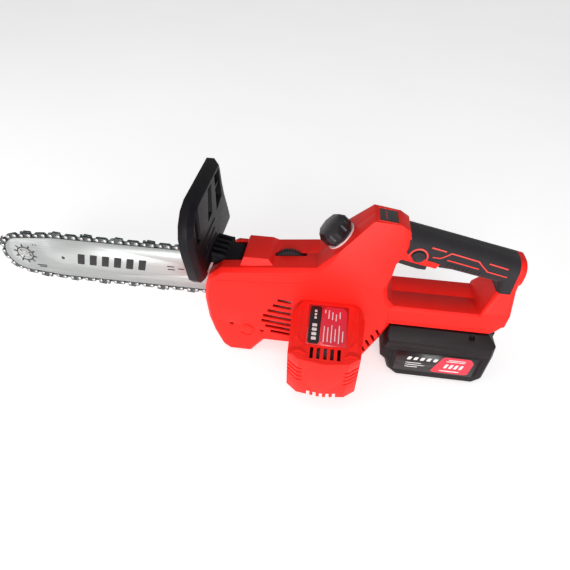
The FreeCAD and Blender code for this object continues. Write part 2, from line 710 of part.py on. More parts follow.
def box_solid(gap):
    """The motor housing's form: sloping lid, clipped corners, bevelled rim."""
    low, high = num(S.box_low) + gap, num(S.box_high) + 10
    outline = [(p.x, p.y) for p in box_outline(0)]
    if gap:
        outline = inset_points(outline, gap)
    face = Part.Face(Part.makePolygon([VEC(x, y, low) for x, y in outline + outline[:1]]))
    body = face.extrude(VEC(0, 0, high - low))
    back, front = -BODY_HALF, num(S.box_front)
    top_back, top_front = num(S.box_high) - gap, num(S.box_high_front) - gap
    lid = Part.Face(Part.makePolygon([
        VEC(0, back + 5, top_back + 1), VEC(0, front - 5, top_front - 1), VEC(0, front - 5, high + 20),
        VEC(0, back + 5, high + 20), VEC(0, back + 5, top_back + 1)])).extrude(VEC(300, 0, 0))
    body = body.cut(lid)
    left, right = num(S.box_left), num(S.box_right)
    for x, sign in ((left, 1), (right, -1)):
        corner = Part.Face(Part.makePolygon([
            VEC(x - 2 * sign, back + 5, top_back + 3), VEC(x - 2 * sign, back + 5, top_back - 8),
            VEC(x + 9 * sign, back + 5, top_back + 3), VEC(x - 2 * sign, back + 5, top_back + 3)]))
        body = body.cut(corner.extrude(VEC(0, front - back - 10, top_front - top_back - 2)))
    return body


def cap_split(ahead):
    """The region in front of (or behind) the V-shaped joint of the end cap."""
    split = num(S.box_front + S.cap_deep)
    middle = (num(S.box_left) + num(S.box_right)) / 2
    tongue = num(S.box_front) + 4
    line = [(-50, split), (middle - 22, split), (middle - 12, tongue), (middle + 12, tongue),
            (middle + 22, split), (350, split)]
    far = -200 if ahead else 100
    line = [(x, y + (0.1 if ahead else -0.1)) for x, y in line] + [(350, far), (-50, far)]
    spots = [VEC(x, y, -10) for x, y in line]
    return Part.Face(Part.makePolygon(spots + spots[:1])).extrude(VEC(0, 0, 300))


def make_motor_housing():
    """Lidded motor box and its ribbed, vented end cap."""
    outer = box_solid(0.0)
    inner = box_solid(num(S.box_wall))
    mouth = box_solid(num(S.box_wall)).translated(VEC(0, 6, 0))
    shell = outer.cut(inner.fuse(mouth))
    left, right = num(S.box_left), num(S.box_right)
    middle = (left + right) / 2
    for i in range(5):
        slot = Part.makeBox(3.3, 13, 30, VEC(middle - 14.9 + 6.6 * i, num(S.box_front) + 5.5,
                                             num(S.box_high_front) - 8))
        shell = shell.cut(slot)
    for i in range(4):
        groove_level = num(S.box_high_front) - 14 - 6.0 * i
        for x in (left - 5, right - 17):
            rib = Part.makeBox(22, 16, 2.4, VEC(x, num(S.box_front) - 3.5, groove_level))
            shell = shell.cut(rib.cut(box_solid(1.1)))
    for i in range(5):
        vent = Part.makeBox(3.3, 14, 12, VEC(middle - 14.9 + 6.6 * i, num(S.box_front) - 4, num(S.box_low) - 6))
        shell = shell.cut(vent)
    recess = label_shape(0.3, 0.5)
    feature("motor_housing", biggest(shell.cut([cap_split(True), recess])))
    feature("motor_end_cap", biggest(shell.cut(cap_split(False))))
    feature("motor_label", label_shape(0.0, 0.4))


def label_shape(gap, deep):
    """The rating plate's blank on the sloping lid."""
    run = -BODY_HALF - num(S.box_front)
    fall = math.degrees(math.atan2(num(S.box_high - S.box_high_front) + 2, run + 10))
    plate = Part.makeBox(40 + 2 * gap, 46 + 2 * gap, deep, VEC(-20 - gap, -46 - gap, -deep))
    plate.rotate(VEC(0, 0, 0), VEC(1, 0, 0), fall)
    middle = (num(S.box_left) + num(S.box_right)) / 2
    share = 5.5 / (run + 10)
    level = num(S.box_high) + 1 - (num(S.box_high - S.box_high_front) + 2) * (5 + share * run) / (run + 10)
    plate.translate(VEC(middle, -BODY_HALF - share * run, level))
    return plate


# ================================================================ sprocket side
def cover_outline():
    """Side view of the sprocket cover, following the body's nose and foot."""
    level = S.bar_level
    nose = S.body_nose
    return [
        (nose + 26, level + 42), (nose + 12, level + 33), (nose + 3, level + 22), (nose + 1, level + 4),
        (nose + 4, level - 24),
        (nose + 11, level - 42), (nose + 30, level - 52), (S.bar_bay_rear - 8, level - 50),
        (S.bar_bay_rear + 9, level - 34), (S.bar_bay_rear + 10, level + 30),
        (S.bar_bay_rear - 2, level + 43),
    ]


def make_cover():
    """The cover over the sprocket and the bar's tail, with ribs and a knob recess."""
    low, high = BODY_HALF + 0.3, num(S.bar_face) + 22
    outline = [(num(x), num(z)) for x, z in cover_outline()]
    rim = inset_points(outline, 4.0)
    body = slab(outline, low, high - 5)
    near = Part.makePolygon([VEC(x, high - 5, z) for x, z in outline + outline[:1]])
    far = Part.makePolygon([VEC(x, high, z) for x, z in rim + rim[:1]])
    body = body.fuse(Part.makeLoft([near, far], True, True)).removeSplitter()
    inner = slab(inset_points(outline, 2.6), low - 1, high - 5)
    mouth = Part.makeBox(60, high - 4.6 - low + 1, BAY_HIGH - BAY_LOW - 2, VEC(-70, low - 1, BAY_LOW + 1))
    chip_exit = Part.makeBox(70, high - 5 - low, 30, VEC(10, low, BAY_LOW - 26))
    body = body.cut([inner, mouth, chip_exit])
    stud = VEC(num(S.stud_place), low - 2, SPINDLE.z)
    body = body.fuse(cylinder(11, stud + VEC(0, 2, 0), VEC(0, 1, 0), high - low))
    body = body.cut([cylinder(num(S.knob_radius) + 1.2, VEC(stud.x, high - 3.0, stud.z), VEC(0, 1, 0), 10),
                     cylinder(num(S.stud_radius) + 0.3, stud, VEC(0, 1, 0), 60)])
    bore_room = cylinder(8.5, VEC(stud.x, low - 3, stud.z), VEC(0, 1, 0), 3.6)
    body = body.cut(bore_room)
    for i in range(6):
        groove = Part.makeBox(26, 4, 2.2, VEC(66, high - 1.4, 50 + 8.0 * i))
        body = body.cut(groove)
    feature("sprocket_cover", biggest(body))


def make_studs():
    """The cover stud and the plain pin that the bar's slot rides on."""
    start = BAY_FLOOR - 12
    stud = cylinder(S.stud_radius, VEC(num(S.stud_place), start, SPINDLE.z), VEC(0, 1, 0), num(S.bar_face) + 20.5)
    pin = cylinder(S.stud_radius, VEC(num(S.guide_pin_place), 16, SPINDLE.z), VEC(0, 1, 0), 13.5)
    feature("bar_studs", Part.makeCompound([stud, pin]))


def make_knob():
    """The cover's hand knob: six lobes round a bored hub."""
    body = new_body("cover_knob")
    face = S.bar_face + 19.6
    disc = ring_sketch(body, "knob_disc", SIDE, (S.stud_place, S.bar_level), S.knob_radius, -face - 12)
    pad(body, disc, 12.0)
    hole = ring_sketch(body, "knob_bore", SIDE, (S.stud_place, S.bar_level), S.stud_radius + 0.1, -face - 10)
    pocket(body, hole, 14.0, True)
    scoop = ring_sketch(body, "knob_scoop", SIDE, (S.stud_place, S.bar_level + S.knob_radius + 4), 8.0, -face - 14)
    made = pocket(body, scoop, 16.0, True)
    pattern = body.newObject("PartDesign::PolarPattern", "knob_lobes")
    pattern.Originals = [made]
    centre = body.newObject("PartDesign::Line", "knob_axis")
    place(centre, (S.stud_place, 0.0, S.bar_level), FreeCAD.Rotation(VEC(1, 0, 0), -90))
    pattern.Axis = (centre, [""])
    pattern.Angle = 360
    pattern.Occurrences = 6
    body.Tip = pattern
    DOC.recompute()


# ================================================================ bar and chain
BAR_MID = num(S.bar_face + S.bar_thick / 2)
NOSE = VEC(num(S.nose_radius) - num(S.bar_tip), BAR_MID, num(S.bar_level))


def bar_shape(shrink, low, high):
    """The bar's outline, smaller by a shrink, between two y levels."""
    half = num(S.bar_half) - shrink
    radius = num(S.nose_radius) - shrink
    taper = -num(S.bar_taper)
    tail = num(S.bar_tail) - shrink
    reach = taper - NOSE.x
    lean = math.asin((half - radius) / reach)
    touch_x, touch_z = NOSE.x - radius * math.sin(lean), radius * math.cos(lean)
    base = NOSE.z
    spots = [VEC(touch_x, low, base + touch_z), VEC(taper, low, base + half), VEC(12, low, base + half),
             VEC(26, low, base + half - 5), VEC(tail, low, base + 13), VEC(tail, low, base - 13),
             VEC(26, low, base - half + 5), VEC(12, low, base - half), VEC(taper, low, base - half),
             VEC(touch_x, low, base - touch_z)]
    edges = [Part.LineSegment(a, b).toShape() for a, b in zip(spots, spots[1:])]
    nose = Part.Arc(spots[-1], VEC(NOSE.x - radius, low, base), spots[0]).toShape()
    return Part.Face(Part.Wire(edges + [nose])).extrude(VEC(0, high - low, 0))


def make_bar():
    """Guide bar with rail groove, nose pocket, stud slot and tension hole; nose rivets."""
    low = num(S.bar_face)
    high = low + num(S.bar_thick)
    bar = bar_shape(0.0, low, high)
    half_groove = num(S.groove_wide) / 2
    rim = bar_shape(-2.0, BAR_MID - half_groove, BAR_MID + half_groove)
    core = bar_shape(num(S.groove_deep), BAR_MID - 3, BAR_MID + 3)
    bar = bar.cut(rim.cut(core))
    pocket_disc = cylinder(num(S.nose_radius) - 5.0, NOSE - VEC(0, half_groove, 0), VEC(0, 1, 0), 2 * half_groove)
    hub = cylinder(7.9, NOSE - VEC(0, half_groove, 0), VEC(0, 1, 0), 2 * half_groove)
    bar = bar.cut(pocket_disc.cut(hub))
    slot_half = num(S.stud_radius) + 0.15
    slot = Part.makeBox(30, 10, 2 * slot_half, VEC(-11, low - 3, SPINDLE.z - slot_half))
    ends = [cylinder(slot_half, VEC(x, low - 3, SPINDLE.z), VEC(0, 1, 0), 10) for x in (-11, 19)]
    tension_hole = cylinder(3.05, VEC(30, low - 3, 58), VEC(0, 1, 0), 10)
    bar = bar.cut([slot, tension_hole] + ends)
    rivet_spots = [(NOSE.x + 3.6 * math.cos(a), NOSE.z + 3.6 * math.sin(a))
                   for a in (math.radians(90 + 120 * i) for i in range(3))]
    rivets = []
    for x, z in rivet_spots:
        bar = bar.cut(cylinder(1.25, VEC(x, low - 1, z), VEC(0, 1, 0), 6))
        rivets.append(cylinder(1.25, VEC(x, low - 0.1, z), VEC(0, 1, 0), num(S.bar_thick) + 0.2))
    feature("guide_bar", biggest(bar))
    feature("nose_rivets", Part.makeCompound(rivets))


def make_nose_sprocket():
    """The small ten-tooth wheel that turns inside the bar's nose."""
    body = new_body("nose_sprocket")
    teeth = 10
    tip, root = S.nose_radius - 6.0, S.nose_radius - 9.5
    points = []
    for i in range(teeth):
        for radius, part in ((root, -0.3), (tip, -0.12), (tip, 0.12), (root, 0.3)):
            angle = 2 * math.pi * (i + part) / teeth
            points.append((S.nose_radius - S.bar_tip + radius * math.cos(angle),
                           S.bar_level + radius * math.sin(angle)))
    outline = outline_sketch(body, "nose_teeth", SIDE, points, -S.bar_face - S.bar_thick / 2 - 0.6)
    pad(body, outline, 1.2)
    hole = ring_sketch(body, "nose_bore", SIDE, (S.nose_radius - S.bar_tip, S.bar_level), 8.0,
                       -S.bar_face - S.bar_thick / 2 - 2)
    pocket(body, hole, 4.0, True)


def chain_path():
    """The line that the rivets follow: nose arc, two rails, two tapers, sprocket arc."""
    rise = num(S.rivet_rise)
    half = num(S.bar_half) + rise
    nose_radius = num(S.nose_radius) + rise
    taper = -num(S.bar_taper)
    lean = math.asin((half - nose_radius) / (taper - NOSE.x))
    leave = 18.0
    ring = num(S.sprocket_ring)
    run = SPINDLE.x - leave
    reach = math.hypot(run, half)
    drop = math.atan2(half, run) - math.asin(ring / reach)
    spots = [(NOSE.x - nose_radius * math.sin(lean), nose_radius * math.cos(lean)), (taper, half),
             (leave, half), (SPINDLE.x + ring * math.sin(drop), ring * math.cos(drop))]
    pieces = [("line", spots[0], spots[1]), ("line", spots[1], spots[2]), ("line", spots[2], spots[3]),
              ("arc", (SPINDLE.x, 0.0), ring, math.pi / 2 - drop, -(math.pi - 2 * drop))]
    for kind, start, end in reversed(pieces[:3]):
        pieces.append((kind, (end[0], -end[1]), (start[0], -start[1])))
    pieces.append(("arc", (NOSE.x, 0.0), nose_radius, -math.pi / 2 - lean, -(math.pi - 2 * lean)))
    return pieces


def piece_length(piece):
    """Length of one stretch of the chain's path."""
    if piece[0] == "line":
        return math.dist(piece[1], piece[2])
    return piece[2] * abs(piece[4])


def path_spot(pieces, distance):
    """The (x, z) spot at a distance along the chain's path."""
    for piece in pieces:
        long = piece_length(piece)
        if distance <= long:
            share = distance / long
            if piece[0] == "line":
                return tuple(a + share * (b - a) for a, b in zip(piece[1], piece[2]))
            angle = piece[3] + share * piece[4]
            return (piece[1][0] + piece[2] * math.cos(angle), piece[1][1] + piece[2] * math.sin(angle))
        distance -= long
    return path_spot(pieces, 0.0)


STRAP_HALF = num(S.rivet_rise) - 0.65


def slot_plate(pitch, radius, thick, holes=True):
    """A link plate centred on the origin between two rivets, in the XZ plane."""
    half = pitch / 2
    edges = [
        Part.LineSegment(VEC(-half, 0, radius), VEC(half, 0, radius)).toShape(),
        Part.Arc(VEC(half, 0, radius), VEC(half + radius, 0, 0), VEC(half, 0, -radius)).toShape(),
        Part.LineSegment(VEC(half, 0, -radius), VEC(-half, 0, -radius)).toShape(),
        Part.Arc(VEC(-half, 0, -radius), VEC(-half - radius, 0, 0), VEC(-half, 0, radius)).toShape(),
    ]
    plate = Part.Face(Part.Wire(edges)).extrude(VEC(0, thick, 0))
    if holes:
        plate = plate.cut([cylinder(1.6, VEC(x, -1, 0), VEC(0, 1, 0), thick + 2) for x in (-half, half)])
    return plate


def drive_link_plate(pitch):
    """A drive link: rounded shoulders and a hooked tang that runs in the groove."""
    deep = num(S.tang_deep)
    half = pitch / 2
    spots = [(-half - 1, 2.7), (-2, 1.0), (2, 1.0), (half + 1, 2.7), (half + 2.7, 1), (half + 2.7, -1),
             (half - 0.4, -3.4), (1.6, -deep), (-1.8, -deep + 1.0), (-half + 0.6, -3.4), (-half - 2.7, -1),
             (-half - 2.7, 1)]
    plate = slab(spots, 0, num(S.link_thick))
    return plate.cut([cylinder(1.6, VEC(x, -1, 0), VEC(0, 1, 0), 4) for x in (-half, half)])


def cutter_plate(pitch, side):
    """A cutter: a strap with a raised tooth whose top plate bends over, and a depth gauge."""
    thick = num(S.strap_thick)
    strap = slot_plate(pitch, STRAP_HALF, thick, False)
    half = pitch / 2
    tooth = slab([(-1.5, 2.0), (half + 3.0, 2.0), (half + 3.0, 4.3), (-1.0, 5.4)], 0, thick)
    top = slab([(-1.0, 4.5), (half + 3.0, 3.5), (half + 3.0, 4.4), (-1.0, 5.4)], -1.8 * side, 0.5)
    gauge = slab([(-half - 2.6, 2.0), (-half + 1.4, 2.0), (-half + 1.0, 4.6), (-half - 1.6, 4.1)], 0, thick)
    if side < 0:
        top = slab([(-1.0, 4.5), (half + 3.0, 3.5), (half + 3.0, 4.4), (-1.0, 5.4)], 0.5, thick + 1.8)
    plate = strap.fuse([tooth, top, gauge])
    return plate.cut([cylinder(1.6, VEC(x, -4, 0), VEC(0, 1, 0), 9) for x in (-half, half)])


def make_chain():
    """All the chain's links, laid round the bar at an even pitch near its nominal."""
    pieces = chain_path()
    total = sum(piece_length(p) for p in pieces)
    count = 8 * round(total / num(S.rivet_pitch) / 8)
    spots = [path_spot(pieces, total * i / count) for i in range(count)]
    thick, link = num(S.strap_thick), num(S.link_thick)
    near = BAR_MID - link / 2 - num(S.strap_gap) - thick
    far = BAR_MID + link / 2 + num(S.strap_gap)
    groups = {"chain_drive_links": [], "chain_tie_straps": [], "chain_cutters": [], "chain_rivets": []}
    for i, (x, z) in enumerate(spots):
        nx, nz = spots[(i + 1) % count]
        pitch = math.hypot(nx - x, nz - z)
        turn = math.degrees(math.atan2(nz - z, nx - x))
        middle = VEC((x + nx) / 2, 0, SPINDLE.z + (z + nz) / 2)

        def laid(shape, level):
            shape.rotate(VEC(0, 0, 0), VEC(0, 1, 0), -turn)
            shape.translate(middle + VEC(0, level, 0))
            return shape

        if i % 2 == 0:
            groups["chain_drive_links"].append(laid(drive_link_plate(pitch), BAR_MID - link / 2))
        else:
            cutter_side = {1: 1, 5: -1}.get(i % 8, 0)
            if cutter_side > 0:
                groups["chain_cutters"].append(laid(cutter_plate(pitch, 1), far))
            else:
                groups["chain_tie_straps"].append(laid(slot_plate(pitch, STRAP_HALF, thick), far))
            if cutter_side < 0:
                groups["chain_cutters"].append(laid(cutter_plate(pitch, -1), near))
            else:
                groups["chain_tie_straps"].append(laid(slot_plate(pitch, STRAP_HALF, thick), near))
        shank = cylinder(1.5, VEC(x, near - 0.5, SPINDLE.z + z), VEC(0, 1, 0), far - near + thick + 1.0)
        for level in (near - 0.6, far + thick + 0.05):
            head = cylinder(2.1, VEC(x, level, SPINDLE.z + z), VEC(0, 1, 0), 0.55)
            shank = shank.fuse(head)
        groups["chain_rivets"].append(shank)
    for label, shapes in groups.items():
        feature(label, Part.makeCompound(shapes))
    print("chain: %d rivets, pitch %.3f" % (count, total / count))


# ================================================================ drive train
def make_spindle():
    """Spindle with its large gear, rim sprocket and clip."""
    x, z = S.spindle_place, S.bar_level
    shaft = rod("spindle_rod", S.spindle_radius, S.bar_face + S.bar_thick + 29, (x, -21.5, z))
    keep("spindle", shaft)
    gear = gear_face(S.gear_module, S.gear_teeth, 0.0).extrude(VEC(0, num(S.gear_wide), 0))
    gear.translate(VEC(num(x), -14, num(z)))
    holes = [cylinder(5.0, VEC(num(x) + 17 * math.cos(a), -16, num(z) + 17 * math.sin(a)), VEC(0, 1, 0), 14)
             for a in (math.radians(60 * i) for i in range(6))]
    gear = gear.cut(holes + [cylinder(S.spindle_radius, VEC(num(x), -16, num(z)), VEC(0, 1, 0), 14)])
    feature("drive_gear", biggest(gear))
    rims = tube("sprocket_rims", S.sprocket_ring - 4.4, S.spindle_radius, 6.0, (x, S.bar_face - 1, z))
    window = tube("sprocket_window", S.sprocket_ring, S.sprocket_ring - 10.6, S.groove_wide + 0.6,
                  (x, S.bar_face + S.bar_thick / 2 - S.groove_wide / 2 - 0.3, z))
    keep("drive_sprocket", cut("sprocket_cut", rims, window))
    keep("sprocket_clip", tube("clip_ring", 7.0, S.spindle_radius, 1.2, (x, S.bar_face + 5.3, z)))
    inner_ring = tube("bearing_rear", 9.0, S.spindle_radius + 0.02, 5.0, (x, -21.3, z))
    outer_ring = tube("bearing_front", 11.0, S.spindle_radius + 0.02, 7.0, (x, 8.0, z))
    keep("spindle_bearings", group("bearing_pair", [inner_ring, outer_ring]))


def make_gear_plate():
    """The alloy plate that carries the motor's nose and the spindle's rear bearing."""
    plate = slab([(34, 50), (52, 40), (74, 30), (122, 30), (124, 78), (104, 98), (56, 100), (36, 88)], -21.0, -17.5)
    seat = cylinder(12, VEC(SPINDLE.x, -22.6, SPINDLE.z), VEC(0, 1, 0), 6.4)
    plate = plate.fuse(seat)
    plate = plate.cut([cylinder(9.02, VEC(SPINDLE.x, -21.3, SPINDLE.z), VEC(0, 1, 0), 12),
                       cylinder(6.5, VEC(SPINDLE.x, -30, SPINDLE.z), VEC(0, 1, 0), 20),
                       cylinder(9.0, VEC(MOTOR.x, -30, MOTOR.z), VEC(0, 1, 0), 20)])
    feature("gear_plate", biggest(plate))


def make_motor():
    """Motor case, magnets, armature, shaft, fan and pinion."""
    x, z = MOTOR.x, MOTOR.z
    radius = num(S.motor_radius)
    rear = -21.4 - num(S.motor_long)
    case = cylinder(radius, VEC(x, rear, z), VEC(0, 1, 0), S.motor_long)
    case = case.cut([cylinder(radius - 1.8, VEC(x, rear + 3, z), VEC(0, 1, 0), num(S.motor_long) - 6),
                     cylinder(S.shaft_radius + 0.05, VEC(x, rear - 1, z), VEC(0, 1, 0), 90)])
    for i in range(4):
        window = Part.makeBox(9, 30, 40, VEC(-4.5, rear + 10, radius - 3))
        window.rotate(VEC(0, 0, 0), VEC(0, 1, 0), 45 + 90 * i)
        window.translate(VEC(x, 0, z))
        case = case.cut(window)
    feature("motor_case", biggest(case))
    magnets = []
    for turn in (0, 180):
        ring = cylinder(radius - 1.9, VEC(0, rear + 6, 0), VEC(0, 1, 0), 42)
        ring = ring.cut([cylinder(radius - 4.6, VEC(0, rear, 0), VEC(0, 1, 0), 90),
                         Part.makeBox(60, 90, 60, VEC(-30, rear, -48))])
        ring.rotate(VEC(0, 0, 0), VEC(0, 1, 0), turn)
        ring.translate(VEC(x, 0, z))
        magnets.append(biggest(ring))
    feature("motor_magnets", Part.makeCompound(magnets))
    armature = cylinder(radius - 5.2, VEC(x, rear + 12, z), VEC(0, 1, 0), 32)
    for i in range(8):
        slot = Part.makeBox(2.2, 40, 8, VEC(-1.1, rear + 10, radius - 9.5))
        slot.rotate(VEC(0, 0, 0), VEC(0, 1, 0), 45 * i)
        slot.translate(VEC(x, 0, z))
        armature = armature.cut(slot)
    commutator = cylinder(7.0, VEC(x, rear + 43, z), VEC(0, 1, 0), 13)
    armature = armature.fuse(commutator).cut(cylinder(S.shaft_radius, VEC(x, rear, z), VEC(0, 1, 0), 90))
    feature("motor_armature", solids_of(armature))
    feature("motor_shaft", cylinder(S.shaft_radius, VEC(x, rear - 9, z), VEC(0, 1, 0), num(S.motor_long) + 26))
    feature("cooling_fan", fan_shape(VEC(x, rear - 7.5, z)))
    turn = 180.0 / num(S.pinion_teeth)
    lean = math.degrees(math.atan2(MOTOR.z - SPINDLE.z, MOTOR.x - SPINDLE.x))
    mesh = lean * num(S.gear_teeth) / num(S.pinion_teeth)
    pinion = gear_face(S.gear_module, S.pinion_teeth, 180 + turn + lean + mesh).extrude(VEC(0, num(S.gear_wide) + 1, 0))
    pinion.translate(VEC(x, -14.5, z))
    pinion = pinion.cut(cylinder(S.shaft_radius, VEC(x, -20, z), VEC(0, 1, 0), 20))
    feature("motor_pinion", biggest(pinion))


def fan_shape(spot):
    """A flat fan: a disc with curved-in blades."""
    disc = cylinder(17, spot, VEC(0, 1, 0), 1.4)
    blades = []
    for i in range(9):
        blade = Part.makeBox(1.4, 4.0, 10, VEC(-0.7, 0.4, 6))
        blade.rotate(VEC(0, 0, 0), VEC(0, 1, 0), 40 * i)
        blade.translate(spot)
        blades.append(blade)
    hub = cylinder(5, spot, VEC(0, 1, 0), 5)
    return biggest(disc.fuse(blades + [hub]).cut(cylinder(S.shaft_radius, spot - VEC(0, 2, 0), VEC(0, 1, 0), 12)))


# ================================================================ hand guard
def cross_slab(points, low, high):
    """A prism of a (y, z) outline between two x levels."""
    spots = [VEC(low, num(y), num(z)) for y, z in points]
    return Part.Face(Part.makePolygon(spots + spots[:1])).extrude(VEC(high - low, 0, 0))


def guard_outline():
    """The guard plate seen along the bar, as (y, z) corners."""
    low, high = S.guard_low, S.guard_high
    return [
        (-38, low - 3), (50, low - 1), (70, low - 1), (78, low + 5), (72, low + 22), (61, high - 42),
        (57, high - 27), (54, high - 9), (50, high), (-28, high - 3), (-41, high - 7), (-51, high - 16),
        (-56, high - 27), (-56, high - 44), (-52, low + 28), (-48, low + 9),
    ]


def make_guard():
    """The hand guard: dished plate with pockets, and a ribbed arm on a pin."""
    front = num(S.guard_front)
    rear = front + num(S.guard_deep)
    outline = [(num(y), num(z)) for y, z in guard_outline()]
    rim = inset_points(outline, 5.0)
    plate = cross_slab(outline, front, rear - 5)
    near = Part.makePolygon([VEC(rear - 5, y, z) for y, z in outline + outline[:1]])
    far = Part.makePolygon([VEC(rear, y, z) for y, z in rim + rim[:1]])
    plate = plate.fuse(Part.makeLoft([near, far], True, True))
    low, high = num(S.guard_low), num(S.guard_high)
    far_pocket = cross_slab([(24, high - 46), (47, high - 40), (45, high - 8), (27, high - 8)], rear - 9, rear + 5)
    far_rib = cross_slab([(22, high - 26), (50, high - 24), (50, high - 21), (22, high - 23)], rear - 9, rear - 2)
    near_pocket = cross_slab([(-45, high - 42), (-33, high - 42), (-30, high - 9), (-38, high - 11),
                              (-45, high - 19)], rear - 9, rear + 5)
    near_rib = cross_slab([(-46, high - 37), (-32, high - 37), (-32, high - 35), (-46, high - 35)],
                          rear - 9, rear - 4)
    middle_pocket = cross_slab([(-7, high - 40), (9, high - 38), (15, high - 9), (3, high - 9)], rear - 5, rear + 5)
    front_dish = cross_slab(inset_points(outline, 8.0), front - 1, front + 2)
    toe = Part.makeBox(20, 130, 14, VEC(front + 4, -BODY_HALF - 0.5, low - 9))
    chain_notch = Part.makeBox(30, 11, 8, VEC(front - 5, 20.5, low - 6))
    plate = plate.cut([far_pocket.cut(far_rib), middle_pocket, near_pocket.cut(near_rib), front_dish, toe, chain_notch])
    x, z = GUARD_PIVOT.x, GUARD_PIVOT.z
    arm = [(front + 3, z - 2), (front + 3, z + 8), (front + 16, z + 5), (x - 8, z + 4.2), (x, z + 4.8),
           (x + 4, z + 3), (x + 4.5, z - 2), (x, z - 4.5), (x - 9, z - 3)]
    wide = [(front + 3, z - 2), (front + 3, z + 8), (front + 16, z + 5), (x - 11, z + 4.2), (x - 11, z - 2.6)]
    pieces = [slab(arm, -10, 20), slab(wide, 19, 30)]
    for i in range(5):
        rib = [(front + 8, z + 4), (front + 8, z + 11), (x - 14, z + 7), (x - 12, z + 4)]
        pieces.append(slab(rib, -9 + 8.4 * i, -7 + 8.4 * i))
    guard = plate.fuse(pieces).cut(cylinder(3.05, VEC(x, -30, z), VEC(0, 1, 0), 80))
    feature("hand_guard", biggest(guard))
    pin_half = BODY_HALF - WALL - 0.2
    keep("guard_pin", rod("guard_pin_rod", 3.0, 2 * pin_half, (S.guard_pivot, -pin_half, S.guard_pivot_level)))


def make_brake_cover():
    """The raised block on the deck behind the guard, and the switch under it."""
    base = [(6, -22), (41.5, -22), (41.5, 26), (6, 26)]
    step = [(6, -22), (41.5, -22), (41.5, 26), (6, 26)]
    top = [(9, -18), (34, -18), (34, 20), (9, 20)]
    low, high = deck_level(6) - 3, deck_level(34) + 6
    levels = ((base, low), (step, deck_level(6) + 1.5), (top, high))
    wires = [Part.makePolygon([VEC(x, y, z) for x, y in ring + ring[:1]]) for ring, z in levels]
    block_shape = Part.makeLoft(wires, True, True)
    below = slab([(-20, 0), (-20, deck_level(-20) + 0.15), (60, deck_level(60) + 0.15), (60, 0)], -60, 60)
    feature("brake_cover", biggest(block_shape.cut(below)))
    keep("brake_switch", block("brake_switch_box", (16.0, 14.0, 10.0), (9.0, -8.0, S.guard_pivot_level - 22)))


# ================================================================ chain tension
def rack_points(left, right, pitch_level, low):
    """Side view of a toothed rack with its teeth upwards, one tooth over the wheel."""
    module = num(S.rack_module)
    pitch = math.pi * module
    points = [(left, low)]
    first = math.ceil((left + 1.5 - WHEEL.x) / pitch)
    last = math.floor((right - 1.5 - WHEEL.x) / pitch)
    root, tip = pitch_level - 1.2 * module, pitch_level + 0.95 * module
    points.append((left, root))
    for i in range(first, last + 1):
        middle = WHEEL.x + i * pitch
        points += [(middle - 1.16 * module, root), (middle - 0.38 * module, tip),
                   (middle + 0.38 * module, tip), (middle + 1.16 * module, root)]
    return points + [(right, root), (right, low)]


def make_tensioner():
    """The knurled wheel with its pinion, and the rack plate that moves the bar."""
    module = num(S.rack_module)
    pitch_level = WHEEL.z - module * num(S.rack_pinion_teeth) / 2 - 0.1
    rack = slab(rack_points(30, WHEEL.x + 20.5, pitch_level, pitch_level - 7), 12, 16)
    plate = slab([(26, 50), (40, 50), (40, pitch_level - 4), (30, pitch_level - 4), (26, 100)], 12, 16)
    slot = slab([(31, 70), (35, 70), (35, 100), (31, 100)], 11, 17)
    pin = cylinder(3.0, VEC(30, 14, 58), VEC(0, 1, 0), num(S.bar_face + S.bar_thick) - 14.2)
    feature("tension_slider", biggest(rack.fuse([plate, pin]).cut(slot)))
    half = num(S.wheel_wide) / 2
    middle = VEC(WHEEL.x, -1.5 - half, WHEEL.z)
    wheel = cylinder(S.wheel_radius, middle, VEC(0, 1, 0), 2 * half)
    for i in range(36):
        notch = Part.makeBox(1.5, 2 * half + 2, 3, VEC(-0.75, -half - 2.5, num(S.wheel_radius) - 1.5))
        notch.rotate(VEC(0, 0, 0), VEC(0, 1, 0), 10 * i)
        notch.translate(VEC(WHEEL.x, 0, WHEEL.z))
        wheel = wheel.cut(notch)
    shaft_half = BODY_HALF - WALL - 0.2
    shaft = cylinder(3.0, VEC(WHEEL.x, -shaft_half, WHEEL.z), VEC(0, 1, 0), 2 * shaft_half)
    pinion = gear_face(S.rack_module, S.rack_pinion_teeth, 0.0).extrude(VEC(0, 4.4, 0))
    pinion.translate(VEC(WHEEL.x, 11.8, WHEEL.z))
    feature("tension_wheel", biggest(wheel.fuse([shaft, pinion])))


# ================================================================ oil
def ring_wire(radius, height, corners=8):
    """A regular polygon across the filler's axis at one height."""
    side = SLOPE
    up = VEC(0, 1, 0)
    spots = []
    for i in range(corners):
        angle = 2 * math.pi * (i + 0.5) / corners
        spots.append(CAP_BASE + SLOPE_OUT * height + side * (radius * math.cos(angle))
                     + up * (radius * math.sin(angle)))
    return Part.makePolygon(spots + spots[:1])


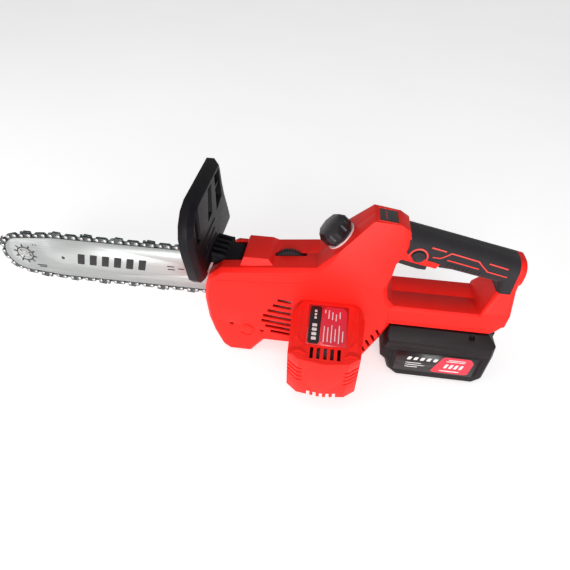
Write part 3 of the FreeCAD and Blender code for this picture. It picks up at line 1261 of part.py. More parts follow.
def make_oil():
    """The oil tank with its filler neck, the faceted cap, its seal, the pump and the pipe."""
    tank_half = num(S.hump_half) + 0.5
    outline = [(98, 108), (146, 108), (146, 158), (140, num(S.hump_level) - 24), (118, num(S.hump_level) - 26),
               (98, deck_level(98) + 5)]
    tank = bevelled_slab(outline, tank_half, 2.0)
    neck = cylinder(S.neck_radius, CAP_BASE - SLOPE_OUT * 14, SLOPE_OUT, 22)
    bore = cylinder(num(S.neck_radius) - 2, CAP_BASE - SLOPE_OUT * 16, SLOPE_OUT, 30)
    tank = tank.fuse(neck).cut([bevelled_slab(outline, tank_half, 2.0, 2.0), bore])
    feature("oil_tank", biggest(tank))
    radius, tall = num(S.cap_radius), num(S.cap_tall)
    levels = ((0.90, 2.0), (1.0, 4.6), (1.0, tall - 5.5), (0.80, tall))
    cap = Part.makeLoft([ring_wire(radius * share, height) for share, height in levels], True, True)
    for i in range(8):
        angle = 2 * math.pi * i / 8
        out = SLOPE * math.cos(angle) + VEC(0, 1, 0) * math.sin(angle)
        scoop = cylinder(4.0, CAP_BASE + out * (radius * 0.924 + 3.0) + SLOPE_OUT * 6.5, SLOPE_OUT, tall)
        cap = cap.cut(scoop)
    socket = cylinder(num(S.neck_radius) + 0.05, CAP_BASE - SLOPE_OUT, SLOPE_OUT, 10.0)
    feature("oil_cap", biggest(cap.cut(socket)))
    seal = cylinder(radius - 0.3, CAP_BASE + SLOPE_OUT * 0.3, SLOPE_OUT, 1.4)
    feature("oil_cap_seal", seal.cut(cylinder(num(S.neck_radius) + 0.3, CAP_BASE - SLOPE_OUT, SLOPE_OUT, 6)))
    pump = fuse("pump_parts", [block("pump_box", (22.0, 16.0, 18.0), (112.0, 0.0, 72.0)),
                               rod("pump_barrel", 5.0, 12.0, (123.0, 8.0, 88.0), "Z")])
    keep("oil_pump", pump)
    keep("oil_tube", tube("oil_pipe", 3.0, 1.8, 7.4, (123.0, 8.0, 100.3), "Z"))


def make_electronics():
    """The display, the control board and the power switch."""
    feature("display_window", window_slab(0.0, 0.0))
    keep("display_board", block("display_card", (11.0, 16.0, 1.6), (S.hump_front + 9, -8.0, S.hump_level - 9)))
    keep("control_board", block("control_card", (36.0, 1.6, 42.0), (110.0, -16.8, 36.0)))
    body_box = block("switch_box", (24.0, 14.0, 13.0), (S.grip_front + 31, -7.0, S.grip_rear_top - 9))
    plunger = block("switch_plunger", (3.0, 5.0, 3.0), (S.grip_front + 28, -2.5, S.grip_rear_top - 5))
    keep("power_switch", fuse("switch_parts", [body_box, plunger]))


# ================================================================ controls
def make_controls():
    """The trigger on its pin, and the lock-off button."""
    body = new_body("trigger")
    x, z = S.trigger_pivot, S.trigger_level
    points = [(x - 5.5, z - 1), (x - 5.0, z - 8.5), (x + 8, z - 12), (x + 20, z - 15), (x + 27.5, z - 15.5),
              (x + 28, z - 11), (x + 25.5, z - 3), (x + 8, z + 3), (x - 4, z + 3)]
    outline = outline_sketch(body, "trigger_outline", SIDE, points, -S.trigger_half)
    pad(body, outline, 2 * S.trigger_half)
    pin_hole = ring_sketch(body, "trigger_pin_hole", SIDE, (x, z), 2.05, S.trigger_half + 1)
    pocket(body, pin_hole, 2 * S.trigger_half + 2)
    round_edges(body, lambda e: along(e, VEC(0, 1, 0)) and e.CenterOfMass.z < num(z) - 7, 1.2)
    half = BRIDGE_HALF - 0.6
    keep("trigger_pin", rod("trigger_pin_rod", 2.0, 2 * half, (x, -half, z)))
    radius = num(S.button_radius)
    button = cylinder(radius, BUTTON - VEC(0, 3.4, 0), VEC(0, 1, 0), 7.0)
    skirt = cylinder(radius + 1.4, BUTTON + VEC(0, 3.4, 0), VEC(0, 1, 0), 1.0)
    stem = cylinder(3.0, BUTTON + VEC(0, 4.0, 0), VEC(0, 1, 0), 2.6)
    dish = Part.makeSphere(14, BUTTON - VEC(0, 16.4, 0))
    feature("lockoff_button", biggest(button.fuse([skirt, stem]).cut(dish)))


# ================================================================ battery
def pack_outline():
    """Side view of the battery case."""
    front, rear, high = S.pack_front, S.pack_rear, S.pack_high
    return [
        (front + 5.5, high), (front, high - 19.5), (front, 30), (front + 6, 24), (front + 11, 10),
        (front + 22, 0), (rear - 9, 0), (rear, 9), (rear, 47), (rear - 1.5, 62), (rear - 9, high),
    ]


def pack_solid(gap):
    """The battery's outer form with sloping shoulders."""
    case = bevelled_slab(pack_outline(), S.pack_half, 3.2, gap)
    half, high = num(S.pack_half), num(S.pack_high)
    lean = VEC(0, 11.0, 10.5).normalize()
    for sign in (1, -1):
        normal = VEC(0, lean.y * sign, lean.z)
        start = VEC(0, (half - 10.5) * sign, high) - normal * gap
        along_slope = VEC(0, normal.z, -normal.y) * 60
        corner = start - along_slope * 0.5 + VEC(100, 0, 0)
        face = Part.Face(Part.makePolygon([corner, corner + along_slope, corner + along_slope + VEC(300, 0, 0),
                                           corner + VEC(300, 0, 0), corner]))
        case = case.cut(face.extrude(normal * 40))
    return case


def make_battery():
    """The battery: two case halves, cells, board, contacts, label, button and spring."""
    wall = num(S.pack_wall)
    front, rear, high = num(S.pack_front), num(S.pack_rear), num(S.pack_high)
    split = num(S.pack_split)
    shell = pack_solid(0.0).cut(pack_solid(wall))
    below = Part.makeBox(300, 200, split, VEC(front - 60, -100, 0))
    above = Part.makeBox(300, 200, 100, VEC(front - 60, -100, split + 0.2))
    feature("battery_case_lower", biggest(shell.common(below)))
    tongue_front, tongue_rear = front + 15, rear - 21
    long = tongue_rear - tongue_front
    neck = Part.makeBox(long, 28, 4.5, VEC(tongue_front, -14, high - 0.5))
    head = Part.makeBox(long, 37, 3.6, VEC(tongue_front, -18.5, high + 3.8))
    upper = shell.common(above).fuse([neck, head])
    for y in CONTACT_ROWS:
        upper = upper.cut(Part.makeBox(16, 2.4, 4.6, VEC(tongue_front - 1, y - 1.2, high + 1.6)))
    button_room = Part.makeBox(20, 28.6, 15.6, VEC(rear - 9, -14.3, split + 0.7))
    tab_rooms = [Part.makeBox(5.8, 6.6, 8, VEC(rear - 20.8, y - 3.3, high - 5)) for y in TAB_ROWS]
    half = num(S.pack_half)
    notch = cylinder(3.2, VEC(rear - 26, -half + 7.5, high - 5), VEC(0, 0, 1), 10)
    upper = upper.cut([button_room] + tab_rooms)
    upper = upper.fuse(cylinder(4.6, VEC(rear - 26, -half + 7.5, split + 4), VEC(0, 0, 1), high - split - 4)
                       .common(pack_solid(0.0))).cut(notch)
    feature("battery_case_upper", biggest(upper))
    make_battery_insides(front, rear, split)
    middle = block("battery_button_face", (9.5, 28.0, 12.0), (S.pack_rear - 7.5, -14.0, S.pack_split + 4))
    yoke = block("battery_button_yoke", (14.0, 44.0, 2.0), (S.pack_rear - 20.5, -22.0, S.pack_split + 14))
    tabs = [block("battery_button_tab_%d" % i, (5.0, 6.0, S.pack_high - S.pack_split - 11.4),
                  (S.pack_rear - 20.4, y - 3.0, S.pack_split + 14.5)) for i, y in enumerate(TAB_ROWS)]
    keep("battery_button", fuse("battery_button_parts", [middle, yoke] + tabs))
    spring_low = split + 3.6
    feature("button_spring", coil(VEC(rear - 14, 0, spring_low + 0.5), 3.2, 0.45, split + 13.4 - spring_low, 5))


CONTACT_ROWS = (-12.0, -4.0, 4.0, 12.0)
TAB_ROWS = (-19.0, 19.0)


def coil(foot, radius, wire_radius, height, turns):
    """A compression spring along +Z."""
    helix = Part.makeHelix((height - wire_radius) / turns, height - wire_radius, radius)
    helix.translate(foot)
    start = helix.Vertexes[0].Point
    ring = Part.Wire(Part.makeCircle(wire_radius, start, VEC(0, 1, 0)))
    return Part.Wire(helix.Edges).makePipeShell([ring], True, True)


def make_battery_insides(front, rear, split):
    """Cells, board, contacts and the side label."""
    radius = num(S.cell_radius)
    pitch = 2 * radius + 0.8
    first = front + 27
    columns = 1 + int((rear - 13.5 - first) / pitch)
    half_long = num(S.pack_half - S.pack_wall) - 2.8
    cells = []
    for row in range(2):
        for column in range(columns):
            spot = VEC(first + pitch * column, -half_long, radius + 4 + pitch * row)
            can = cylinder(radius, spot, VEC(0, 1, 0), 2 * half_long - 1.2)
            tip = cylinder(radius / 3, spot + VEC(0, 2 * half_long - 1.3, 0), VEC(0, 1, 0), 1.2)
            cells.append(can.fuse(tip))
    feature("battery_cells", Part.makeCompound(cells))
    keep("battery_board", block("battery_card", (S.pack_rear - S.pack_front - 34, 44.0, 1.6),
                                (S.pack_front + 12, -22.0, S.pack_split + 1.6)))
    clips = [block("contact_%d" % i, (4.0, 1.6, 3.4), (S.pack_front + 25.5, y - 0.8, S.pack_high + 2.2))
             for i, y in enumerate(CONTACT_ROWS)]
    keep("battery_contacts", group("contact_set", clips))
    keep("battery_label", block("battery_side_label", (S.pack_rear - S.pack_front - 30, 0.4, 31.0),
                                (S.pack_front + 17, -S.pack_half - 0.45, 12.0)))


def make_shoe():
    """The slide rail and terminal block that take the battery's tongue."""
    body = new_body("battery_shoe")
    low = S.rail_low + 0.3
    half = SHOE_HALF
    points = [(-half, low), (-15, low), (-15, low + 2.4), (-19.2, low + 2.4), (-19.2, low + 7.4),
              (19.2, low + 7.4), (19.2, low + 2.4), (15, low + 2.4), (15, low), (half, low),
              (half, low + 10), (-half, low + 10)]
    outline = outline_sketch(body, "shoe_outline", CROSS, points, S.grip_front + 2.5)
    pad(body, outline, S.pack_rear - S.grip_front - 15.5)
    for i, y in enumerate(TAB_ROWS):
        notch = outline_sketch(body, "shoe_notch_%d" % i, FLOOR,
                               [(S.pack_rear - 20.8, y - 3.4), (S.pack_rear - 15.0, y - 3.4),
                                (S.pack_rear - 15.0, y + 3.4), (S.pack_rear - 20.8, y + 3.4)], low - 1)
        pocket(body, notch, 4.2, True)
    base = block("terminal_base", (6.0, 30.0, 6.4), (S.grip_front + 3, -15.0, S.rail_low + 1.0))
    blades = [block("terminal_blade_%d" % i, (12.0, 0.8, 3.4), (S.grip_front + 8.5, y - 0.4, S.rail_low + 1.9))
              for i, y in enumerate(CONTACT_ROWS)]
    keep("terminal_block", fuse("terminal_parts", [base] + blades))


def check_and_write():
    """Recomputes, checks every object and writes one STEP file per node."""
    DOC.recompute()
    for obj in DOC.Objects:
        if any(word in obj.State for word in ("Invalid", "Error")):
            raise ValueError("%s failed: %s" % (obj.Label, obj.State))
    for label, obj in NODES.items():
        if obj.Shape.isNull() or not obj.Shape.isValid() or not obj.Shape.Solids:
            raise ValueError("%s has no valid solid" % label)
    os.makedirs("parts", exist_ok=True)
    for label, obj in NODES.items():
        obj.Shape.exportStep("parts/%s.step" % label)
        print("%-24s solids %3d  volume %10.1f" % (label, len(obj.Shape.Solids), obj.Shape.Volume))


make_housing()
make_screws()
make_grip()
make_motor_housing()
make_cover()
make_studs()
make_knob()
make_bar()
make_nose_sprocket()
make_chain()
make_spindle()
make_gear_plate()
make_motor()
make_guard()
make_brake_cover()
make_tensioner()
make_oil()
make_electronics()
make_controls()
make_battery()
make_shoe()
check_and_write()
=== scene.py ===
"""Battery chainsaw: finishes, surface detail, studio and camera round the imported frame."""

import json
import logging
import math
from dataclasses import dataclass, field
from enum import Enum
from typing import Callable, Iterable, Sequence

import bmesh
import bpy
from mathutils import Matrix, Vector
from mathutils.bvhtree import BVHTree


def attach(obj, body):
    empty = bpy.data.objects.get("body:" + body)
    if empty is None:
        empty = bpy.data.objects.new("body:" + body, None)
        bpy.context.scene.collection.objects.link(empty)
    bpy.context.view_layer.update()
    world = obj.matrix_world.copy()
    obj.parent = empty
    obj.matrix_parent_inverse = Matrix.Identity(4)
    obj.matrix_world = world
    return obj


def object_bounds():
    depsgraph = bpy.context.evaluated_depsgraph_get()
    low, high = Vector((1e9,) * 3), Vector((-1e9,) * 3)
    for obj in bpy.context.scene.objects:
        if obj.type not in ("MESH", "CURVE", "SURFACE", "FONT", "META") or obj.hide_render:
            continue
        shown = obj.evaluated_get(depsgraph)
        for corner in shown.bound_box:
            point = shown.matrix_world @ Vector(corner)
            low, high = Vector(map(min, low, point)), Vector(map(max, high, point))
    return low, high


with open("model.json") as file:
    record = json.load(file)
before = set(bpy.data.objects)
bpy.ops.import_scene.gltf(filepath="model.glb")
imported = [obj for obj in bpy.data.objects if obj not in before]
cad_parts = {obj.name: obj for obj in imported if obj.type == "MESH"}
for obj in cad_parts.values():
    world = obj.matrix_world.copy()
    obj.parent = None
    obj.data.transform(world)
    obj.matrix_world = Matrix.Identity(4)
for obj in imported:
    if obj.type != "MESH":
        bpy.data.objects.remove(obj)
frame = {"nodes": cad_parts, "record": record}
CAD_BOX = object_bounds()

LOG = logging.getLogger("chainsaw")
MM = 0.001
Point2 = tuple[float, float]
Colour = tuple[float, float, float]


# ------------------------------------------------------------------ node graphs
class Graph:
    """A thin wrapper that adds and joins shader nodes."""

    def __init__(self, tree: bpy.types.NodeTree) -> None:
        """Starts an empty graph.

        Args:
            tree: the node tree to fill.
        """
        self.tree = tree
        tree.nodes.clear()

    def add(self, kind: str, settings: dict | None = None, **inputs: object) -> bpy.types.Node:
        """Adds a node.

        Args:
            kind: the node type, without its "ShaderNode" prefix.
            settings: properties set on the node itself.
            inputs: socket name (underscores for blanks) to a value or an output socket.

        Returns:
            The new node.
        """
        node = self.tree.nodes.new(kind if kind.startswith("Node") else "ShaderNode" + kind)
        for name, value in (settings or {}).items():
            setattr(node, name, value)
        for name, value in inputs.items():
            self.feed(node, name.replace("_", " "), value)
        return node

    def feed(self, node: bpy.types.Node, name: str | int, value: object) -> None:
        """Sets one input from a value, or links it from an output socket.

        Args:
            node: the node to feed.
            name: the input's name or index.
            value: a plain value or an output socket.
        """
        socket = node.inputs[name]
        if isinstance(value, bpy.types.NodeSocket):
            self.tree.links.new(value, socket)
        elif isinstance(value, tuple) and len(value) == 3 and socket.type == "RGBA":
            socket.default_value = (*value, 1.0)
        else:
            socket.default_value = value

    def math(self, operation: str, first: object, second: object = 0.5,
             clamp: bool = False) -> bpy.types.NodeSocket:
        """One arithmetic step.

        Args:
            operation: the Math node's operation.
            first: value or socket.
            second: value or socket.
            clamp: whether the result stays in 0 to 1.

        Returns:
            The result socket.
        """
        node = self.add("Math", {"operation": operation, "use_clamp": clamp})
        self.feed(node, 0, first)
        self.feed(node, 1, second)
        return node.outputs[0]

    def remap(self, value: bpy.types.NodeSocket, low: float, high: float, to_low: float = 0.0,
              to_high: float = 1.0) -> bpy.types.NodeSocket:
        """Maps a range of a value onto another, clamped.

        Args:
            value: the socket to map.
            low: start of the source range.
            high: end of the source range.
            to_low: start of the target range.
            to_high: end of the target range.

        Returns:
            The result socket.
        """
        node = self.add("MapRange")
        self.feed(node, 0, value)
        for index, number in enumerate((low, high, to_low, to_high), start=1):
            self.feed(node, index, number)
        return node.outputs[0]

    def mix(self, share: object, first: object, second: object,
            blend: str = "MIX") -> bpy.types.NodeSocket:
        """Mixes two colours.

        Args:
            share: value or socket, how much of the second.
            first: colour or socket.
            second: colour or socket.
            blend: the blend type.

        Returns:
            The result socket.
        """
        node = self.add("Mix", {"data_type": "RGBA", "blend_type": blend})
        self.feed(node, 0, share)
        self.feed(node, 6, first)
        self.feed(node, 7, second)
        return node.outputs[2]


class Effect(Enum):
    """The shared surface effects, each one node group."""

    GRAIN = "moulded_grain"
    WEAR = "edge_wear"
    DRIFT = "tone_drift"
    DUST = "settled_dust"
    BRUSH = "brushed_lines"
    RIPPLE = "moulding_ripple"


class Effects:
    """Builds each shared node group once and places it in materials."""

    @staticmethod
    def _start(effect: Effect, inputs: dict[str, float], outputs: Sequence[str]) -> Graph:
        """Makes an empty group with float inputs and outputs.

        Args:
            effect: which effect.
            inputs: input name to its default.
            outputs: output names.

        Returns:
            The group's graph.
        """
        tree = bpy.data.node_groups.new(effect.value, "ShaderNodeTree")
        for name, value in inputs.items():
            tree.interface.new_socket(name, in_out="INPUT",
                                      socket_type="NodeSocketFloat").default_value = value
        for name in outputs:
            tree.interface.new_socket(name, in_out="OUTPUT", socket_type="NodeSocketFloat")
        return Graph(tree)

    @classmethod
    def _grain(cls) -> bpy.types.NodeTree:
        """Fine pits of a textured mould.

        Returns:
            The group's tree.
        """
        g = cls._start(Effect.GRAIN, {"Scale": 2600.0, "Patchiness": 0.3}, ("Height", "Shade"))
        ins = g.add("NodeGroupInput")
        spot = g.add("TexCoord").outputs["Object"]
        fine = g.add("TexVoronoi", {"feature": "SMOOTH_F1"}, Vector=spot,
                     Scale=ins.outputs["Scale"], Smoothness=0.6)
        coarse = g.add("TexNoise", Vector=spot,
                       Scale=g.math("MULTIPLY", ins.outputs["Scale"], 0.18), Detail=3.0)
        patch = g.math("MULTIPLY", coarse.outputs["Fac"], ins.outputs["Patchiness"])
        height = g.math("ADD", g.math("MULTIPLY", fine.outputs["Distance"], 0.8), patch)
        g.add("NodeGroupOutput", Height=height, Shade=coarse.outputs["Fac"])
        return g.tree

    @classmethod
    def _wear(cls) -> bpy.types.NodeTree:
        """Where edges catch knocks: high on convex corners, broken up by noise.

        Returns:
            The group's tree.
        """
        g = cls._start(Effect.WEAR, {"Reach": 0.0012, "Gain": 4.0, "Breakup": 180.0}, ("Mask",))
        ins = g.add("NodeGroupInput")
        spot = g.add("TexCoord").outputs["Object"]
        rounded = g.add("Bevel", {"samples": 4}, Radius=ins.outputs["Reach"]).outputs["Normal"]
        flat = g.add("NewGeometry").outputs["Normal"]
        turn = g.add("VectorMath", {"operation": "DOT_PRODUCT"})
        g.feed(turn, 0, rounded)
        g.feed(turn, 1, flat)
        edge = g.math("MULTIPLY", g.math("SUBTRACT", 1.0, turn.outputs["Value"]),
                      ins.outputs["Gain"], True)
        noise = g.add("TexNoise", Vector=spot, Scale=ins.outputs["Breakup"], Detail=4.0)
        broken = g.remap(noise.outputs["Fac"], 0.42, 0.66)
        g.add("NodeGroupOutput", Mask=g.math("MULTIPLY", edge, broken))
        return g.tree

    @classmethod
    def _drift(cls) -> bpy.types.NodeTree:
        """Slow change of tone across a moulding.

        Returns:
            The group's tree.
        """
        g = cls._start(Effect.DRIFT, {"Scale": 14.0, "Amount": 0.06}, ("Shade",))
        ins = g.add("NodeGroupInput")
        spot = g.add("TexCoord").outputs["Object"]
        noise = g.add("TexNoise", Vector=spot, Scale=ins.outputs["Scale"], Detail=5.0,
                      Roughness=0.55)
        swing = g.math("MULTIPLY", g.math("SUBTRACT", noise.outputs["Fac"], 0.5),
                       ins.outputs["Amount"])
        g.add("NodeGroupOutput", Shade=g.math("ADD", 1.0, swing))
        return g.tree

    @classmethod
    def _dust(cls) -> bpy.types.NodeTree:
        """A thin film on what faces up.

        Returns:
            The group's tree.
        """
        g = cls._start(Effect.DUST, {"Amount": 0.12, "Scale": 60.0}, ("Mask",))
        ins = g.add("NodeGroupInput")
        spot = g.add("TexCoord").outputs["Object"]
        up = g.add("SeparateXYZ", Vector=g.add("NewGeometry").outputs["Normal"]).outputs["Z"]
        noise = g.add("TexNoise", Vector=spot, Scale=ins.outputs["Scale"], Detail=6.0)
        film = g.math("MULTIPLY", g.remap(up, 0.3, 1.0), g.remap(noise.outputs["Fac"], 0.35, 0.7))
        g.add("NodeGroupOutput", Mask=g.math("MULTIPLY", film, ins.outputs["Amount"]))
        return g.tree

    @classmethod
    def _brush(cls) -> bpy.types.NodeTree:
        """Long grinding lines along X, over a cloudy tone.

        Returns:
            The group's tree.
        """
        g = cls._start(Effect.BRUSH, {"Scale": 900.0, "Stretch": 0.02}, ("Height", "Shade"))
        ins = g.add("NodeGroupInput")
        spot = g.add("TexCoord").outputs["Object"]
        long = g.add("CombineXYZ", X=ins.outputs["Stretch"], Y=1.0, Z=1.0).outputs[0]
        stretched = g.add("VectorMath", {"operation": "MULTIPLY"})
        g.feed(stretched, 0, spot)
        g.feed(stretched, 1, long)
        lines = g.add("TexNoise", Vector=stretched.outputs[0], Scale=ins.outputs["Scale"],
                      Detail=3.0)
        cloud = g.add("TexNoise", Vector=spot, Scale=24.0, Detail=4.0)
        shade = g.math("ADD", g.math("MULTIPLY", lines.outputs["Fac"], 0.6),
                       g.math("MULTIPLY", cloud.outputs["Fac"], 0.4))
        g.add("NodeGroupOutput", Height=lines.outputs["Fac"], Shade=shade)
        return g.tree

    @classmethod
    def _ripple(cls) -> bpy.types.NodeTree:
        """Very shallow waviness of a large moulded wall.

        Returns:
            The group's tree.
        """
        g = cls._start(Effect.RIPPLE, {"Scale": 30.0}, ("Height",))
        ins = g.add("NodeGroupInput")
        spot = g.add("TexCoord").outputs["Object"]
        noise = g.add("TexNoise", Vector=spot, Scale=ins.outputs["Scale"], Detail=1.0)
        g.add("NodeGroupOutput", Height=noise.outputs["Fac"])
        return g.tree

    @classmethod
    def place(cls, g: Graph, effect: Effect, **inputs: object) -> bpy.types.Node:
        """Puts an effect in a material's graph.

        Args:
            g: the material's graph.
            effect: which effect.
            inputs: the group's own values.

        Returns:
            The group node.
        """
        makers: dict[Effect, Callable[[], bpy.types.NodeTree]] = {
            Effect.GRAIN: cls._grain, Effect.WEAR: cls._wear, Effect.DRIFT: cls._drift,
            Effect.DUST: cls._dust, Effect.BRUSH: cls._brush, Effect.RIPPLE: cls._ripple,
        }
        tree = bpy.data.node_groups.get(effect.value) or makers[effect]()
        node = g.add("Group", {"node_tree": tree})
        for name, value in inputs.items():
            g.feed(node, name.replace("_", " "), value)
        return node


# ------------------------------------------------------------------ finishes
@dataclass(frozen=True)
class Plastic:
    """A moulded plastic or rubber: tone drift, grain, edge wear and a dust film."""

    name: str
    colour: Colour
    roughness: float = 0.45
    grain_scale: float = 2600.0
    grain_depth: float = 0.00004
    drift: float = 0.08
    wear: float = 0.35
    wear_colour: Colour = (0.8, 0.3, 0.25)
    dust: float = 0.05
    dust_colour: Colour = (0.5, 0.47, 0.43)
    coat: float = 0.0
    sheen: float = 0.0
    specular: float = 0.5

    def build(self) -> bpy.types.Material:
        """Makes the material.

        Returns:
            The material.
        """
        material = bpy.data.materials.new(self.name)
        material.use_nodes = True
        g = Graph(material.node_tree)
        drift = Effects.place(g, Effect.DRIFT, Scale=14.0, Amount=self.drift)
        tone = g.mix(1.0, self.colour, g.add("CombineXYZ", X=drift.outputs[0], Y=drift.outputs[0],
                                             Z=drift.outputs[0]).outputs[0], "MULTIPLY")
        wear = Effects.place(g, Effect.WEAR, Reach=0.0009, Gain=self.wear * 8.0, Breakup=220.0)
        worn = g.mix(g.math("MULTIPLY", wear.outputs[0], self.wear), tone, self.wear_colour)
        dust = Effects.place(g, Effect.DUST, Amount=self.dust, Scale=70.0)
        coated = g.mix(dust.outputs[0], worn, self.dust_colour)
        grain = Effects.place(g, Effect.GRAIN, Scale=self.grain_scale, Patchiness=0.3)
        uneven = g.remap(grain.outputs["Shade"], 0.3, 0.7, self.roughness - 0.05,
                         self.roughness + 0.06)
        rough = g.math("ADD", uneven, g.math("MULTIPLY", dust.outputs[0], 0.5), True)
        bump = g.add("Bump", Height=grain.outputs["Height"], Distance=self.grain_depth,
                     Strength=0.6)
        shader = g.add("BsdfPrincipled", Base_Color=coated, Roughness=rough, Normal=bump.outputs[0])
        g.feed(shader, "Coat Weight", self.coat)
        g.feed(shader, "Sheen Weight", self.sheen)
        g.feed(shader, "Specular IOR Level", self.specular)
        g.add("OutputMaterial", Surface=shader.outputs[0])
        return material


@dataclass(frozen=True)
class Steel:
    """A metal: grinding lines, cloudy tone and brighter worn edges."""

    name: str
    colour: Colour
    roughness: float = 0.35
    metallic: float = 1.0
    lines: float = 900.0
    stretch: float = 0.02
    depth: float = 0.00002
    contrast: float = 0.25
    edge_colour: Colour = (0.75, 0.75, 0.76)
    edge: float = 0.5

    def build(self) -> bpy.types.Material:
        """Makes the material.

        Returns:
            The material.
        """
        material = bpy.data.materials.new(self.name)
        material.use_nodes = True
        g = Graph(material.node_tree)
        brush = Effects.place(g, Effect.BRUSH, Scale=self.lines, Stretch=self.stretch)
        dark = tuple(c * (1.0 - self.contrast) for c in self.colour)
        light = tuple(min(c * (1.0 + self.contrast), 1.0) for c in self.colour)
        tone = g.mix(g.remap(brush.outputs["Shade"], 0.35, 0.65), dark, light)
        wear = Effects.place(g, Effect.WEAR, Reach=0.0006, Gain=5.0, Breakup=300.0)
        edged = g.mix(g.math("MULTIPLY", wear.outputs[0], self.edge), tone, self.edge_colour)
        rough = g.remap(brush.outputs["Shade"], 0.3, 0.7, self.roughness + 0.08,
                        self.roughness - 0.08)
        bump = g.add("Bump", Height=brush.outputs["Height"], Distance=self.depth, Strength=0.5)
        shader = g.add("BsdfPrincipled", Base_Color=edged, Roughness=rough, Metallic=self.metallic,
                       Normal=bump.outputs[0])
        g.add("OutputMaterial", Surface=shader.outputs[0])
        return material


RED = (0.88, 0.014, 0.008)
DARK = (0.022, 0.020, 0.023)

FINISHES: dict[str, Plastic | Steel] = {
    "red_shell": Plastic("red_shell_finish", RED, roughness=0.44, specular=0.22, dust=0.012,
                         grain_depth=0.00003, wear=0.25,
                         wear_colour=(0.95, 0.16, 0.12)),
    "red_box": Plastic("red_box_finish", RED, roughness=0.46, specular=0.22, dust=0.012,
                       grain_depth=0.00003, wear=0.25,
                       wear_colour=(0.95, 0.16, 0.12)),
    "grip_rubber": Plastic("grip_rubber_finish", (0.018, 0.016, 0.019), roughness=0.62,
                           specular=0.22, dust=0.01, grain_scale=1500.0,
                           grain_depth=0.00009, wear=0.3, wear_colour=(0.10, 0.095, 0.10),
                           sheen=0.1),
    "black_plastic": Plastic("black_plastic_finish", DARK, roughness=0.44, specular=0.22, dust=0.01,
                             wear=0.4,
                             wear_colour=(0.12, 0.12, 0.125)),
    "guard_plastic": Plastic("guard_plastic_finish", (0.006, 0.005, 0.007), roughness=0.45,
                             specular=0.16, dust=0.006,
                             wear=0.4,
                             wear_colour=(0.14, 0.14, 0.15)),
    "cap_plastic": Plastic("cap_plastic_finish", (0.010, 0.008, 0.010), roughness=0.30,
                           specular=0.4, dust=0.02,
                           wear=0.4,
                           wear_colour=(0.15, 0.15, 0.16)),
    "seal_rubber": Plastic("seal_rubber_finish", (0.80, 0.58, 0.58), roughness=0.55, wear=0.2,
                           wear_colour=(0.9, 0.85, 0.85)),
    "screw_steel": Steel("screw_steel_finish", (0.16, 0.16, 0.165), 0.40, lines=400.0, stretch=1.0),
    "bar_steel": Steel("bar_steel_finish", (0.50, 0.515, 0.505), 0.42, metallic=0.6, lines=1100.0,
                       stretch=0.015,
                       contrast=0.10),
    "chain_steel": Steel("chain_steel_finish", (0.10, 0.115, 0.115), 0.38, metallic=0.85,
                         lines=700.0, stretch=1.0,
                         edge_colour=(0.45, 0.46, 0.46)),
    "rivet_steel": Steel("rivet_steel_finish", (0.62, 0.58, 0.58), 0.28, lines=700.0, stretch=1.0),
    "gear_steel": Steel("gear_steel_finish", (0.42, 0.41, 0.39), 0.34, lines=600.0, stretch=1.0),
    "alloy": Steel("alloy_finish", (0.55, 0.55, 0.56), 0.45, lines=300.0, stretch=1.0),
    "motor_steel": Steel("motor_steel_finish", (0.20, 0.20, 0.21), 0.42, metallic=0.8, lines=300.0,
                         stretch=1.0),
    "copper_winding": Steel("copper_winding_finish", (0.60, 0.24, 0.10), 0.38, lines=900.0,
                            stretch=1.0),
    "magnet": Steel("magnet_finish", (0.09, 0.09, 0.09), 0.55, metallic=0.4, lines=200.0,
                    stretch=1.0),
    "fan_plastic": Plastic("fan_plastic_finish", (0.05, 0.05, 0.055), roughness=0.5),
    "clear_tank": Plastic("clear_tank_finish", (0.70, 0.69, 0.62), roughness=0.35),
    "window_black": Plastic("window_black_finish", (0.010, 0.010, 0.012), roughness=0.10,
                            grain_depth=0.000002,
                            wear=0.0, dust=0.03, coat=0.6),
    "board_green": Plastic("board_green_finish", (0.015, 0.13, 0.05), roughness=0.4),
    "label_film": Plastic("label_film_finish", (0.70, 0.025, 0.03), roughness=0.33,
                          grain_depth=0.00001, wear=0.0),
    "pack_label_film": Plastic("pack_label_film_finish", (0.012, 0.009, 0.011), roughness=0.30,
                               grain_depth=0.00001, wear=0.0),
    "pack_plastic": Plastic("pack_plastic_finish", (0.010, 0.006, 0.007), roughness=0.46,
                            specular=0.2, dust=0.008,
                            wear=0.4,
                            wear_colour=(0.11, 0.10, 0.10)),
    "cell_wrap": Plastic("cell_wrap_finish", (0.04, 0.16, 0.36), roughness=0.3),
    "contact_brass": Steel("contact_brass_finish", (0.72, 0.52, 0.22), 0.3, lines=500.0,
                           stretch=1.0),
    "spring_steel": Steel("spring_steel_finish", (0.5, 0.5, 0.5), 0.3, lines=500.0, stretch=1.0),
    "inlay_red": Plastic("inlay_red_finish", (0.80, 0.035, 0.025), roughness=0.38, wear=0.1),
    "print_white": Plastic("print_white_finish", (0.72, 0.70, 0.70), roughness=0.4, wear=0.0,
                           dust=0.0,
                           grain_depth=0.00001),
    "print_black": Plastic("print_black_finish", (0.010, 0.008, 0.010), roughness=0.3, wear=0.0,
                           dust=0.0,
                           grain_depth=0.00001),
    "print_crimson": Plastic("print_crimson_finish", (0.68, 0.022, 0.05), roughness=0.32, wear=0.0,
                             dust=0.0,
                             grain_depth=0.00001),
}


class FinishShelf:
    """Builds each finish once and hands it out."""

    def __init__(self) -> None:
        """Starts with nothing built."""
        self._built: dict[str, bpy.types.Material] = {}

    def take(self, slot: str) -> bpy.types.Material:
        """The material of a slot.

        Args:
            slot: the finish's name.

        Returns:
            The material, built on first use.
        """
        if slot not in self._built:
            self._built[slot] = FINISHES[slot].build()
        return self._built[slot]


SHELF = FinishShelf()


